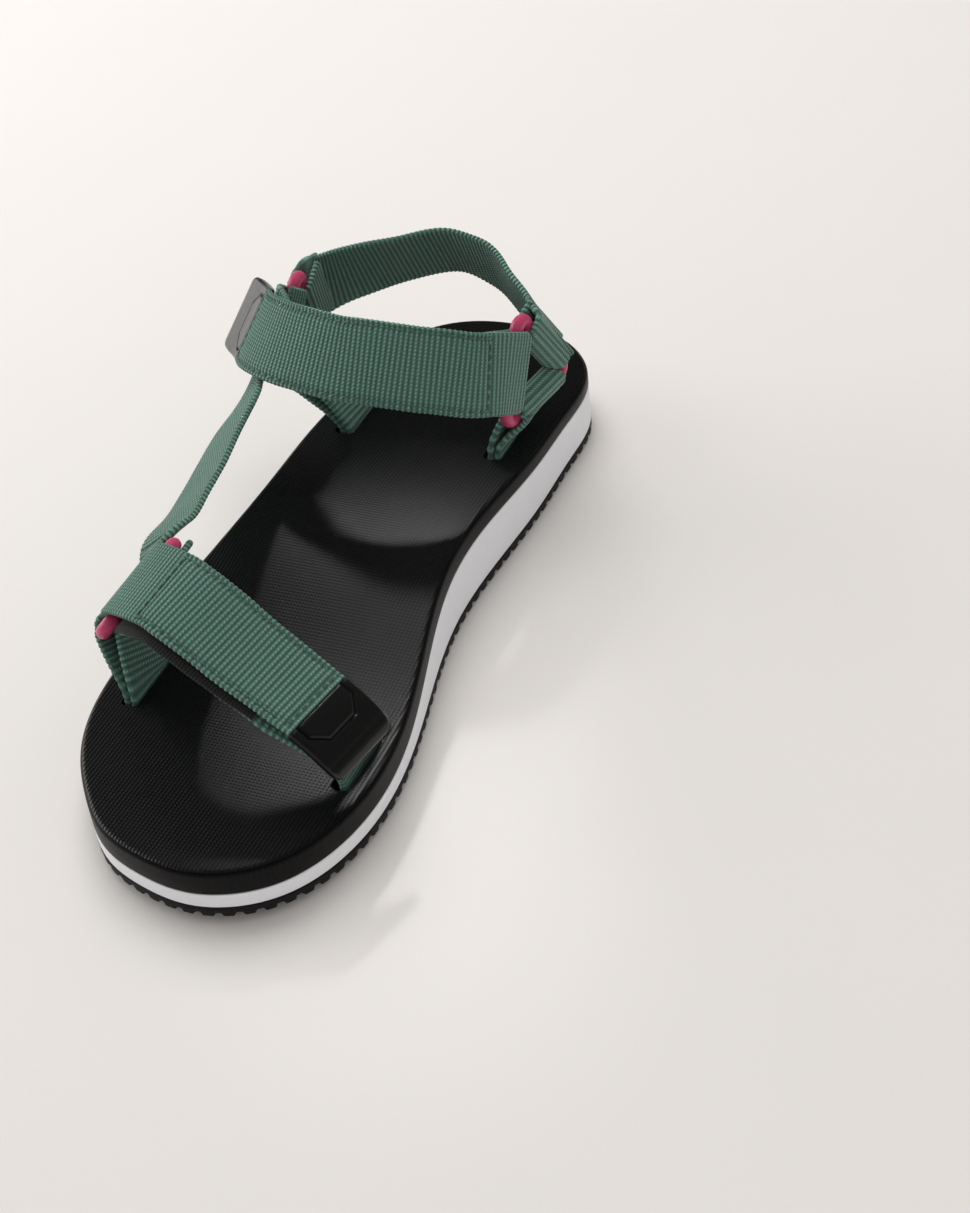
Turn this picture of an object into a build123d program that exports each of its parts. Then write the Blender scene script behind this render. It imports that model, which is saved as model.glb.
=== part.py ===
from build123d import *
from collections import namedtuple
import math
import os
import numpy as np

# Strappy sport sandal for a right foot: a three-layer sole, three triangular rings,
# and webbing straps with hook and loop closures, pull tabs and stitching.
# Model frame: +X to the toe, +Y to the inner (medial) side of the foot, +Z up,
# origin on the ground at the middle of the sole's length and width. Millimetres.
# Tables and geometry are worked in the heel frame, which differs only by a shift
# in x and y; vec() converts when shapes are made.

# ---------------------------------------------------------------- sole dimensions
# sole outline (x, y), from the heel along the medial side to the toe and back
OUTLINE = [
    (-4.6, 1.9), (1.3, 21.5), (17.4, 35.0), (41.8, 36.9), (70.4, 36.5), (100.1, 34.1),
    (127.5, 33.4), (155.4, 37.5), (180.3, 42.8), (205.0, 45.7), (228.9, 43.2), (249.8, 32.1),
    (259.1, 13.0), (257.2, -3.7), (251.3, -17.7), (239.9, -29.6), (222.4, -41.5),
    (199.8, -48.1), (172.3, -47.5), (140.4, -41.7), (107.9, -39.0), (74.7, -40.2),
    (44.4, -39.6), (18.9, -36.8), (0.3, -21.6),
]
HEEL_X = min(x for x, y in OUTLINE)
TOE_X = max(x for x, y in OUTLINE)
SOLE_MID_X = (HEEL_X + TOE_X) / 2    # heel-frame position of the model origin
SOLE_MID_Y = -1.5

OUTSOLE_T = 3.74
TOE_SPRING = 2.85            # rise of the toe tip
SPRING_START = 180.0         # x where the toe spring starts
# layer thickness knots (x, thickness)
MIDSOLE_T = [(0, 13.7), (36, 13.9), (75, 15.7), (114, 17.1), (140, 14.6),
             (166, 9.4), (190, 5.9), (215, 5.0), (262, 4.9)]
FOOTBED_T = [(0, 5.1), (48, 5.2), (110, 6.2), (160, 7.3), (206, 8.1), (262, 8.1)]
RIM_R = 1.8                  # rounding of the footbed's upper rim

# cutting slabs that reach past the outline on every side
SLAB_X0, SLAB_X1 = -20.0, 280.0
SLAB_Y0, SLAB_Y1 = -70.0, 70.0
SPRING_END_DIR = Vector(1, 0, 0.16)  # slope of the sprung faces at SLAB_X1

SLOT_L = 28.0
SLOT_W = 5.8
SLOT_CORNER_R = 2.0
SLOT_PROBE = 13.5            # reach each side of a slot when finding its floor
# slot centres (x, y)
SLOT_ANKLE_MEDIAL = (61.6, 24.4)
SLOT_ANKLE_LATERAL = (60.5, -28.2)
SLOT_FORE_LATERAL = (190.5, -36.5)
SLOT_FORE_MEDIAL = (203.7, 37.5)

# ---------------------------------------------------------------- strap dimensions
WEB_HALF = 25.0 / 2          # half width of the webbing
ANKLE_HALF = 26.0 / 2        # half width of the ankle webbing
WEB_T = 2.1                  # webbing thickness
TAPE_T = 1.2                 # hook and loop tape
TAPE_HALF = 23.0 / 2
FORE_LOOP_HALF = 12.2        # half width of the forefoot loop tape
TOUCH = 0.03                 # air between layers that lie on each other
EXTRA_AIR = 0.03             # further air below the hook tape
STACK = WEB_T + 2 * TAPE_T + 4 * TOUCH + EXTRA_AIR   # flap centre to base centre
HOOK_OFFSET = -(WEB_T / 2 + TOUCH + TAPE_T / 2)      # from the flap centre
LOOP_OFFSET = HOOK_OFFSET - TAPE_T - TOUCH - EXTRA_AIR

BAR_R = 2.1                  # radius of a ring's bars
RING_CORNER_R = 2.7
BAR_GAP = 0.12               # clearance between a bar and the webbing round it
WRAP_R = BAR_R + BAR_GAP + WEB_T / 2   # centreline radius of a wrap
# (end clearance, taper with depth) that limit the half width round a bar
WRAP_LIMITS = [(2.75, 2.6), (0.45, 7.6)]

BEND_S = 5.0                 # distance from the bar to the line a flap bends about
BEND_GAP = 2.0               # webbing left out each side of that line
FLAP_START = BEND_S + BEND_GAP
BASE_LEAD = BEND_S - BEND_GAP

LEG_GAP = 0.14               # from a slot's centre plane to the webbing's near face
LEG_FOOT = 0.4               # webbing's last station above the slot floor
LEG_MOUTH = 0.9              # station above the footbed top
ANCHOR_PULL = 4.0            # curve handle length of an anchor leg
ANCHOR_CLEAR = 2.6           # anchor edge to bar end

STITCH_L, STITCH_W, STITCH_T = 2.3, 0.55, 0.3
STITCH_PITCH = 3.2
STITCH_LIFT = WEB_T / 2 + 0.12 + STITCH_T / 2
STITCH_INSET = 1.9           # stitch line from the webbing's edge
STITCH_END = 2.2             # stitch line from the flap's end

# ring corners, and a direction that points away from the foot
Ring = namedtuple("Ring", "front apex rear outward")
RING_MEDIAL = Ring((70.8, 29.5, 37.7), (56.4, 30.3, 65.0), (40.5, 35.7, 39.0), (0, 1, 0))
RING_LATERAL = Ring((73.3, -49.4, 43.9), (54.6, -47.3, 68.6), (42.6, -50.8, 40.2), (0, -1, 0))
RING_FOREFOOT = Ring((197.5, -43.2, 38.3), (172.8, -31.0, 53.0), (170.5, -49.0, 29.0),
                     (0, -1, 0.5))

# strap runs: (centre, direction across the width), and for the side strap the half width
ANKLE_FLAP = [
    ((72.6, 30.9, 56.3), (-0.48, -0.02, 0.88)), ((80.8, 26.4, 60.4), (-0.51, -0.04, 0.86)),
    ((86.8, 18.4, 64.1), (-0.55, -0.03, 0.84)), ((90.7, 8.2, 66.4), (-0.57, -0.02, 0.82)),
    ((92.7, -3.0, 67.8), (-0.58, 0.0, 0.82)), ((93.3, -14.3, 68.1), (-0.59, 0.04, 0.81)),
    ((91.5, -25.2, 67.9), (-0.60, 0.10, 0.79)), ((88.0, -35.6, 66.7), (-0.62, 0.16, 0.77)),
    ((82.8, -44.9, 64.6), (-0.63, 0.22, 0.74)), ((76.8, -51.8, 61.8), (-0.62, 0.26, 0.74)),
    ((70.0, -57.0, 58.8), (-0.60, 0.29, 0.745)),
]
FORE_FLAP = [
    ((188.8, -35.3, 52.5), (-0.82, 0.36, 0.45)), ((194.0, -27.1, 57.2), (-0.86, 0.33, 0.39)),
    ((198.0, -17.8, 59.4), (-0.88, 0.33, 0.33)), ((201.4, -8.1, 57.9), (-0.90, 0.34, 0.28)),
    ((203.9, 1.4, 53.8), (-0.92, 0.32, 0.22)), ((205.9, 11.0, 48.9), (-0.95, 0.27, 0.16)),
    ((207.7, 20.7, 44.1), (-0.97, 0.23, 0.10)), ((209.6, 30.6, 39.3), (-0.98, 0.20, 0.05)),
]
HEEL_STRAP = [
    ((43.4, 34.6, 54.2), (0.48, -0.17, 0.86)), ((37.0, 28.0, 55.5), (0.42, -0.15, 0.90)),
    ((30.4, 18.9, 56.8), (0.33, -0.09, 0.94)), ((24.6, 12.7, 58.1), (0.32, -0.04, 0.95)),
    ((19.8, 6.2, 59.6), (0.35, -0.02, 0.94)), ((17.0, -1.4, 60.6), (0.40, -0.01, 0.91)),
    ((15.7, -9.4, 61.3), (0.45, -0.01, 0.89)), ((17.1, -17.6, 60.4), (0.48, -0.02, 0.88)),
    ((20.1, -25.7, 58.7), (0.48, -0.03, 0.87)), ((23.0, -33.9, 57.0), (0.43, -0.05, 0.90)),
    ((26.3, -41.7, 55.2), (0.37, -0.06, 0.93)), ((31.0, -48.3, 53.8), (0.34, -0.06, 0.94)),
    ((37.3, -51.9, 53.2), (0.35, -0.03, 0.935)), ((43.0, -52.5, 53.5), (0.38, 0.05, 0.92)),
]
SIDE_STRAP = [
    ((158.5, -43.2, 43.5), (-0.04, 0.77, 0.62), 12.5),
    ((146.2, -44.0, 43.6), (-0.05, 0.75, 0.65), 12.5),
    ((134.0, -45.0, 44.0), (-0.05, 0.73, 0.68), 12.5),
    ((122.0, -46.6, 44.8), (-0.04, 0.71, 0.70), 12.5),
    ((110.0, -48.2, 45.5), (-0.03, 0.70, 0.71), 12.5),
    ((98.5, -49.8, 45.8), (-0.02, 0.68, 0.73), 12.3),
    ((90.0, -51.8, 45.2), (0.0, 0.62, 0.78), 10.2),
    ((82.0, -54.4, 43.8), (0.0, 0.50, 0.86), 7.4),
    ((74.0, -56.5, 42.4), (0.0, 0.36, 0.93), 5.6),
    ((64.0, -57.0, 41.2), (0.0, 0.30, 0.95), 5.2),
]

# pull tab grip: (distance past the webbing's end, thickness, share of the half width)
GRIP = [(0.15, 3.0, 1.0), (2.5, 3.4, 1.0), (8.0, 3.4, 1.0), (13.0, 3.2, 0.99),
        (16.0, 3.0, 0.95), (17.6, 2.8, 0.88), (18.6, 2.5, 0.78), (19.0, 2.2, 0.70)]
GRIP_DROP = 0.6              # grip centre below the webbing centre

# one cross-section of a band; distance is measured along its run
Station = namedtuple("Station", "centre across normal half thick distance",
                     defaults=(WEB_HALF, WEB_T, None))
# a ring's bar: out leaves the triangle in its plane, normal leaves the foot
Bar = namedtuple("Bar", "middle along out normal half")


# ---------------------------------------------------------------- vectors and curves
def arr(point):
    return np.array(point, float)


def unit(v):
    v = arr(v)
    return v / np.linalg.norm(v)


def unit_rows(rows):
    return rows / np.linalg.norm(rows, axis=1)[:, None]


def square_to(v, axis):
    """unit vector of v with its part along the unit axis taken out"""
    return unit(v - axis * float(np.dot(v, axis)))


def vec(x, y, z):
    """heel-frame point as a Vector in the model frame"""
    return Vector(float(x) - SOLE_MID_X, float(y) - SOLE_MID_Y, float(z))


def smooth(t):
    t = min(1.0, max(0.0, t))
    return t * t * (3 - 2 * t)


def cubic(knots_x, knots_y, x):
    """natural cubic through the knots, held flat outside them; one row per x"""
    xs = arr(knots_x)
    ys = arr(knots_y)
    if ys.ndim == 1:
        ys = ys[:, None]
    n = len(xs)
    h = np.diff(xs)
    matrix = np.zeros((n, n))
    right = np.zeros((n, ys.shape[1]))
    matrix[0, 0] = matrix[-1, -1] = 1
    for i in range(1, n - 1):
        matrix[i, i - 1:i + 2] = h[i - 1], 2 * (h[i - 1] + h[i]), h[i]
        right[i] = 6 * ((ys[i + 1] - ys[i]) / h[i] - (ys[i] - ys[i - 1]) / h[i - 1])
    second = np.linalg.solve(matrix, right)
    out = []
    for q in np.atleast_1d(x):
        q = min(max(q, xs[0]), xs[-1])
        i = min(max(int(np.searchsorted(xs, q)) - 1, 0), n - 2)
        a = (xs[i + 1] - q) / h[i]
        c = (q - xs[i]) / h[i]
        bend = (a ** 3 - a) * second[i] + (c ** 3 - c) * second[i + 1]
        out.append(a * ys[i] + c * ys[i + 1] + bend * h[i] ** 2 / 6)
    return np.array(out)


def bezier(q, t):
    return ((1 - t) ** 3 * q[0] + 3 * (1 - t) ** 2 * t * q[1]
            + 3 * (1 - t) * t * t * q[2] + t ** 3 * q[3])


def bezier_slope(q, t):
    return (3 * (1 - t) ** 2 * (q[1] - q[0]) + 6 * (1 - t) * t * (q[2] - q[1])
            + 3 * t * t * (q[3] - q[2]))


def path_lengths(points):
    return np.r_[0, np.cumsum(np.linalg.norm(np.diff(points, axis=0), axis=1))]


# ---------------------------------------------------------------- sole heights
def spring(x):
    t = max(0.0, (x - SPRING_START) / (TOE_X - SPRING_START))
    return TOE_SPRING * t * t


def layer_thickness(knots, x):
    return float(cubic(*zip(*knots), x)[0, 0])


def z_mid(x):
    """top of the midsole"""
    return OUTSOLE_T + spring(x) + layer_thickness(MIDSOLE_T, x)


def z_top(x):
    """top of the footbed"""
    return z_mid(x) + layer_thickness(FOOTBED_T, x)


def slot_floor(x):
    return max(z_mid(x - SLOT_PROBE), z_mid(x), z_mid(x + SLOT_PROBE))


# ---------------------------------------------------------------- shape helpers
def largest(shape):
    return max(shape.solids(), key=lambda s: s.volume)


def save(shape, name):
    shape.label = name
    export_step(shape, f"parts/{name}.step")


def extrude_slab(wire):
    """extrude a wire at SLAB_Y0 across the whole slab width"""
    return Solid.extrude(Face(wire), Vector(0, SLAB_Y1 - SLAB_Y0, 0))


def strip(stations, reverse=False):
    """closed band through stations, remade with its sections reversed if inside out"""
    sections = []
    for s in stations:
        side = square_to(s.across, s.normal) * s.half
        face = s.normal * s.thick / 2
        points = [s.centre + side + face, s.centre - side + face,
                  s.centre - side - face, s.centre + side - face]
        if reverse:
            points = points[::-1]
        sections.append(Wire.make_polygon([vec(*p) for p in points], close=True))
    made = Solid.make_loft(sections, ruled=True)
    if made.volume < 0 and not reverse:
        return strip(stations, True)
    return made


# ---------------------------------------------------------------- runs of stations
def make_run(rows, count, facing, half=WEB_HALF, start_normal=None):
    """evenly spaced stations through (centre, across[, half]) rows, normals facing one way"""
    centres = arr([r[0] for r in rows])
    knots = path_lengths(centres)
    q = np.linspace(0, knots[-1], count)
    halves = np.interp(q, knots, [r[2] if len(r) > 2 else half for r in rows])
    across = unit_rows(cubic(knots, [r[1] for r in rows], q))
    centres = cubic(knots, centres, q)
    normals = unit_rows(np.cross(unit_rows(np.gradient(centres, axis=0)), across))
    if np.dot(normals[count // 2], facing) < 0:
        normals = -normals
    if start_normal is not None:
        normals[0] = start_normal
    return [Station(c, w, n, h, WEB_T, d) for c, w, n, h, d
            in zip(centres, across, normals, halves, path_lengths(centres))]


def stretch(run, start, end):
    """the stations of a run between two distances along it"""
    return [s for s in run if start <= s.distance <= end]


def sample(run, distances):
    """new stations at given distances along a run"""
    along = [s.distance for s in run]
    centres = cubic(along, [s.centre for s in run], distances)

    def directions(rows):
        columns = [np.interp(distances, along, column) for column in arr(rows).T]
        return unit_rows(np.array(columns).T)

    across = directions([s.across for s in run])
    normals = directions([s.normal for s in run])
    return [Station(c, w, n) for c, w, n in zip(centres, across, normals)]


def offset_layer(stations, offset, half, thick):
    return [s._replace(centre=s.centre + s.normal * offset, half=half, thick=thick)
            for s in stations]


def flipped(stations):
    return [s._replace(normal=-s.normal) for s in stations]


def under_layer(stations, ramp):
    """base webbing under a flap, sinking near the bar to meet the wrap's inner side"""
    out = []
    for s in stations:
        sink = (2 * WRAP_R - STACK) * smooth(1.0 - (s.distance - 4.0) / ramp)
        out += offset_layer([s], -STACK - sink, WEB_HALF, WEB_T)
    return flipped(out)


# ---------------------------------------------------------------- bars and wraps
def bar_of(ring, which):
    front, apex, rear = [arr(p) for p in ring[:3]]
    p, q = {"front": (front, apex), "rear": (rear, apex), "bottom": (rear, front)}[which]
    facing = unit(np.cross(apex - front, rear - front))
    if np.dot(facing, ring.outward) < 0:
        facing = -facing
    middle = (p + q) / 2
    along = unit(q - p)
    out = square_to(unit(middle - (front + apex + rear) / 3), along)
    normal = unit(np.cross(along, out))
    if np.dot(normal, facing) <= 0:
        normal = -normal
    return Bar(middle, along, out, normal, float(np.linalg.norm(q - p)) / 2)


def outer(bar, distance=0.0):
    """webbing centre on the bar's outer tangent, a distance out of the triangle"""
    return bar.middle + bar.normal * WRAP_R + bar.out * distance


def tail(bar, rows):
    """stations on the inner side of a bar from (distance, rise, half width) rows"""
    return [Station(bar.middle - bar.normal * (WRAP_R - rise) + bar.out * distance,
                    bar.along, -bar.normal, half) for distance, rise, half in rows]


def wrap(bar, steps, full=WEB_HALF, inward=None):
    """half turn round a bar from its inner to its outer tangent, narrowed in the triangle"""
    inward = -bar.out if inward is None else inward
    out = []
    for k in range(steps):
        angle = math.pi * k / (steps - 1)
        radial = -bar.normal * math.cos(angle) - bar.out * math.sin(angle)
        depth = max(0.0, float(np.dot(radial, inward)))
        half = min([full] + [bar.half - gap - taper * depth for gap, taper in WRAP_LIMITS])
        out.append(Station(bar.middle + radial * WRAP_R, bar.along, radial, half))
    return out


# ---------------------------------------------------------------- sole
def height_band(low, high):
    """slab between two height curves of x"""
    xs = np.linspace(SLAB_X0, SLAB_X1, 40)

    def curve_points(height):
        return [vec(x, SLAB_Y0, height(min(max(x, HEEL_X), TOE_X))) for x in xs]

    low_points = curve_points(low)
    high_points = curve_points(high)
    return extrude_slab(Wire([
        Edge.make_spline(low_points),
        Edge.make_line(low_points[-1], high_points[-1]),
        Edge.make_spline(high_points[::-1]),
        Edge.make_line(high_points[0], low_points[0])]))


def outsole_slab():
    """outsole layer, exactly flat up to the toe spring"""
    def sprung_edge(z):
        xs = np.linspace(SPRING_START, SLAB_X1, 14)
        return Edge.make_spline([vec(x, SLAB_Y0, z + spring(x)) for x in xs],
                                tangents=[Vector(1, 0, 0), SPRING_END_DIR])

    low = sprung_edge(0.0)
    high = sprung_edge(OUTSOLE_T)
    heel_low = vec(SLAB_X0, SLAB_Y0, 0)
    heel_high = vec(SLAB_X0, SLAB_Y0, OUTSOLE_T)
    return extrude_slab(Wire([
        Edge.make_line(heel_low, vec(SPRING_START, SLAB_Y0, 0)), low,
        Edge.make_line(low @ 1, high @ 1), high,
        Edge.make_line(high @ 0, heel_high), Edge.make_line(heel_high, heel_low)]))


def slot_tool(cx, cy):
    tool = Box(SLOT_L, SLOT_W, 40)
    tool = fillet(tool.edges().filter_by(Axis.Z), SLOT_CORNER_R)
    place = vec(cx, cy, 22)
    return Pos(place.X, place.Y, place.Z) * tool


def build_sole():
    outline = Edge.make_spline([vec(x, y, -10) for x, y in OUTLINE], periodic=True)
    prism = Solid.extrude(Face(Wire([outline])), Vector(0, 0, 80))
    outsole = largest(prism & outsole_slab())

    block_corners = [(SLAB_X0, -5), (SLAB_X1, -5), (SLAB_X1, 70), (SLAB_X0, 70)]
    block = extrude_slab(Wire.make_polygon(
        [vec(x, SLAB_Y0, z) for x, z in block_corners], close=True))
    not_outsole = block - outsole_slab()
    above_mid = height_band(z_mid, lambda x: 75.0)
    above_top = height_band(z_top, lambda x: 76.0)
    midsole = (prism & not_outsole) - above_mid
    # the cut also leaves a piece below the outsole, which is passed over
    midsole = max(midsole.solids(),
                  key=lambda s: s.volume if s.bounding_box().max.Z > 6 else 0)

    footbed = largest((prism & above_mid) - above_top)
    for slot in (SLOT_ANKLE_MEDIAL, SLOT_ANKLE_LATERAL, SLOT_FORE_LATERAL, SLOT_FORE_MEDIAL):
        footbed = largest(footbed - slot_tool(*slot))
    rim = [e for e in footbed.edges()
           if e.bounding_box().size.X > 200 and e.center().Z > z_mid(100) - 6
           and e.bounding_box().min.Z > z_mid(250) + 2]
    # guards the rim fillet, which can fail on the spline edge: the rim then stays square
    try:
        footbed = largest(footbed.fillet(RIM_R, rim))
    except Exception:
        pass

    save(outsole, "outsole")
    save(midsole, "midsole")
    save(footbed, "footbed")


# ---------------------------------------------------------------- rings and anchors
def build_ring(ring, name):
    corners = [arr(p) for p in ring[:3]]
    body = None
    for i in range(3):
        p, q = corners[i], corners[(i + 1) % 3]
        rod = Solid.make_cylinder(BAR_R, float(np.linalg.norm(q - p)),
                                  Plane(origin=vec(*p), z_dir=Vector(*(q - p))))
        body = rod if body is None else body + rod
    for p in corners:
        place = vec(*p)
        body = body + Pos(place.X, place.Y, place.Z) * Sphere(RING_CORNER_R)
    save(largest(body), name)


def build_anchor(ring, slot, name):
    """webbing from its slot up, round the ring's bottom bar and back into the slot"""
    bar = bar_of(ring, "bottom")
    cx, cy = slot
    toeward = arr((1, 0, 0))
    middleward = arr((0, -1.0 if cy > 0 else 1.0, 0))
    along = -bar.along if bar.along[0] < 0 else bar.along
    up = square_to(unit(bar.middle - arr((cx, cy, z_top(cx)))), along)
    normal = unit(np.cross(along, up))
    if np.dot(normal, middleward) > 0:
        normal = -normal
    narrow = min(WEB_HALF, bar.half - ANCHOR_CLEAR)

    def leg(side):
        """slot to bar; side is 1 for the layer nearer the sole's middle, -1 for the other"""
        shift = middleward * side * (WEB_T / 2 + LEG_GAP)
        foot = arr((cx, cy, slot_floor(cx) + LEG_FOOT)) + shift
        mouth = arr((cx, cy, z_top(cx) + LEG_MOUTH)) + shift
        out = [Station(p, toeward, middleward * side) for p in (foot, mouth)]
        tangent = bar.middle - normal * side * WRAP_R
        curve = [mouth, mouth + arr((0, 0, ANCHOR_PULL)), tangent - up * ANCHOR_PULL, tangent]
        for t in (0.17, 0.33, 0.5, 0.67, 0.83):
            out.append(Station(bezier(curve, t), unit(toeward * (1 - t) + along * t),
                               unit(middleward * (1 - t) - normal * t) * side,
                               WEB_HALF + (narrow - WEB_HALF) * t))
        return out

    turn = wrap(bar._replace(along=along, out=-up, normal=normal), 11, narrow, -bar.out)
    save(strip(leg(1) + turn + leg(-1)[::-1]), name)


# ---------------------------------------------------------------- closures
def build_pull_tab(run, name, curl):
    """grip past the webbing's end and a thin tongue under it; curl is in radians per mm,
    positive towards the webbing's inner face"""
    end = run[-1]
    centre = end.centre
    tangent = unit(end.centre - run[-2].centre)
    normal = square_to(end.normal, tangent)
    tongue_end = centre + normal * HOOK_OFFSET + tangent * 0.9
    grip = []
    previous = 0.0
    for distance, thick, share in GRIP:
        step = distance - previous
        angle = -curl * step
        new_tangent = unit(tangent * math.cos(angle) + normal * math.sin(angle))
        normal = unit(normal * math.cos(angle) - tangent * math.sin(angle))
        centre = centre + (tangent + new_tangent) / 2 * step
        tangent = new_tangent
        grip.append(Station(centre - normal * GRIP_DROP, end.across, normal,
                            end.half * share, thick))
        previous = distance
    tongue = offset_layer(run[-4:], HOOK_OFFSET - 0.02, end.half - 4.0, TAPE_T - 0.05)
    tongue.append(tongue[-1]._replace(centre=tongue_end))
    save(largest(strip(grip) + strip(tongue)), name)


def build_stitching(run, lines, name):
    """short raised threads on the outer face; lines are (kind, fixed position, from, to)"""
    solids = []
    for kind, fixed, low, high in lines:
        for k in range(int((high - low) // STITCH_PITCH)):
            q = low + STITCH_PITCH * (k + 0.5)
            distance, offset = (q, fixed) if kind == "along" else (fixed, q)
            before, here, after = sample(run, [
                max(distance - 0.5, 0), distance, min(distance + 0.5, run[-1].distance)])
            tangent = unit(after.centre - before.centre)
            normal = square_to(here.normal, tangent)
            across = here.across - normal * np.dot(here.across, normal)
            across = unit(across - tangent * np.dot(here.across, tangent))
            place = here.centre + across * offset + normal * STITCH_LIFT
            x_dir = tangent if kind == "along" else across
            plane = Plane(origin=vec(*place), x_dir=Vector(*x_dir), z_dir=Vector(*normal))
            solids += (plane.location * Box(STITCH_L, STITCH_W, STITCH_T)).solids()
    save(Compound(children=solids), name)


def stitch_frame(run, start):
    """rectangle of stitch lines from a distance along a flap to its end"""
    edge = run[-1].half - STITCH_INSET
    end = run[-1].distance - STITCH_END
    return [("across", start, -edge, edge), ("across", end, -edge, edge),
            ("along", edge, start, end), ("along", -edge, start, end)]


def base_start(run, bar):
    """start of a base webbing: from the bend line back to the bar and round it"""
    return stretch(run, 0.0, BASE_LEAD)[:0:-1] + wrap(bar, 11, run[0].half)[::-1]


# ---------------------------------------------------------------- ankle strap
def build_ankle_strap():
    medial = bar_of(RING_MEDIAL, "front")
    lateral = bar_of(RING_LATERAL, "front")
    lead = [(outer(medial), medial.along), (outer(medial, 3.5), medial.along)]
    run = make_run(lead + ANKLE_FLAP, 44, (1, 0, 0.5), ANKLE_HALF, medial.normal)
    length = run[-1].distance
    # distance along the flap where it crosses the lateral ring's front bar
    crossing = min(run, key=lambda s: np.linalg.norm(s.centre - lateral.middle)).distance

    save(strip(stretch(run, FLAP_START, length)), "ankle_strap_flap")
    hook = stretch(run, 19.0, length - 10.5)
    save(strip(offset_layer(hook, HOOK_OFFSET, TAPE_HALF, TAPE_T)), "ankle_hook_tape")
    loop = stretch(run, 24.0, crossing - 17.0)
    save(strip(offset_layer(loop, LOOP_OFFSET, TAPE_HALF, TAPE_T)), "ankle_loop_tape")

    # base: round the medial bar, under the flap, then round the lateral bar
    under = under_layer(stretch(run, FLAP_START, crossing - 14.0), 18.0)
    last = under[-1]
    approach = outer(lateral, 5.0)
    joining = [
        Station((last.centre + approach) / 2 - lateral.normal * 0.1,
                unit(last.across + lateral.along), unit(last.normal - lateral.normal)),
        Station(approach, lateral.along, -lateral.normal),
        Station(outer(lateral), lateral.along, -lateral.normal)]
    end = wrap(lateral, 10)[-2::-1] + tail(lateral, [(4.0, 0.35, WEB_HALF),
                                                     (9.0, 1.0, WEB_HALF)])
    save(strip(base_start(run, medial) + under + joining + flipped(end)),
         "ankle_strap_base")

    build_pull_tab(run, "ankle_pull_tab", -0.014)
    build_stitching(run, stitch_frame(run, 17.0), "ankle_flap_stitching")


# ---------------------------------------------------------------- forefoot strap
def build_forefoot_strap():
    bar = bar_of(RING_FOREFOOT, "front")
    run = make_run([(outer(bar), bar.along)] + FORE_FLAP, 34, (0, 0, 1),
                   start_normal=bar.normal)
    length = run[-1].distance

    def drifted(stations):
        """the lower layers lie a little further towards the toe"""
        out = []
        for s in stations:
            fade = min(1.0, max(0.0, (s.distance - 15.0) / (length - 27.0)))
            drift = 3.4 * smooth((s.distance - 6.0) / 9.0) * (1 - 0.65 * fade)
            out.append(s._replace(centre=s.centre - s.across * drift))
        return out

    save(strip(stretch(run, FLAP_START, length)), "forefoot_strap_flap")
    hook = stretch(run, 28.5, length - 10.5)
    save(strip(offset_layer(hook, HOOK_OFFSET, TAPE_HALF, TAPE_T)), "forefoot_hook_tape")
    loop = drifted(stretch(run, 17.0, length - 13.0))
    save(strip(offset_layer(loop, LOOP_OFFSET, FORE_LOOP_HALF, TAPE_T)),
         "forefoot_loop_tape")

    # base: round the front bar, under the flap, down into the medial slot
    base = base_start(run, bar)
    base += under_layer(drifted(stretch(run, FLAP_START, length - 12.0)), 16.0)
    cx, cy = SLOT_FORE_MEDIAL
    heelward = arr((-1, 0, 0))
    leaving = base[-1].centre
    mouth = arr((cx, cy, z_top(cx) + LEG_MOUTH))
    curve = [leaving, leaving + unit(leaving - base[-2].centre) * 8.0,
             mouth + arr((0, 0, 9.0)), mouth]
    for t in (0.2, 0.4, 0.6, 0.8, 1.0):
        across = unit(run[-1].across * (1 - t) + heelward * t)
        normal = unit(np.cross(unit(bezier_slope(curve, t)), across))
        if np.dot(normal, (0, 1, 0.3)) < 0:
            normal = -normal
        base.append(Station(bezier(curve, t), across, -normal))
    foot = arr((cx, cy, slot_floor(cx) + LEG_FOOT))
    base.append(Station(foot, heelward, arr((0, -1, 0))))
    save(strip(base), "forefoot_strap_base")

    build_pull_tab(run, "forefoot_pull_tab", 0.022)
    build_stitching(run, stitch_frame(run, 27.0), "forefoot_flap_stitching")


# ---------------------------------------------------------------- side and heel straps
def build_side_strap():
    """from the forefoot ring's rear bar back along the lateral side, narrowing"""
    bar = bar_of(RING_FOREFOOT, "rear")
    lead = [(outer(bar), bar.along), (outer(bar, 4.0), bar.along)]
    run = make_run(lead + SIDE_STRAP, 34, (0, -1, 0.5))
    end = tail(bar, [(8.0, 0.5, 11.6), (4.0, 0.2, 12.0)])
    turn = wrap(bar._replace(half=bar.half - 0.8), 10)
    save(strip(end + turn + run[1:]), "side_strap")
    build_stitching(run, [("across", 8.0, -9.5, 9.5), ("across", 12.0, -9.5, 9.5)],
                    "side_strap_stitching")


def build_heel_strap_end(ring, name):
    """tail, wrap round the rear bar and the first part of the run"""
    bar = bar_of(ring, "rear")
    end = tail(bar, [(7.5, 0.95, 12.3), (3.5, 0.25, 12.5)])
    first = Station(outer(bar, 4.5), bar.along, bar.normal)
    save(strip(end + wrap(bar, 10) + [first]), name)


def build_heel_strap():
    run = make_run(HEEL_STRAP, 40, (-1, 0, 0))
    save(strip(sample(run, np.linspace(8.0, run[-1].distance - 6.5, 30))), "heel_strap")


# ---------------------------------------------------------------- build
os.makedirs("parts", exist_ok=True)

build_sole()

build_ring(RING_MEDIAL, "ankle_ring_medial")
build_ring(RING_LATERAL, "ankle_ring_lateral")
build_ring(RING_FOREFOOT, "forefoot_ring")

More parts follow.
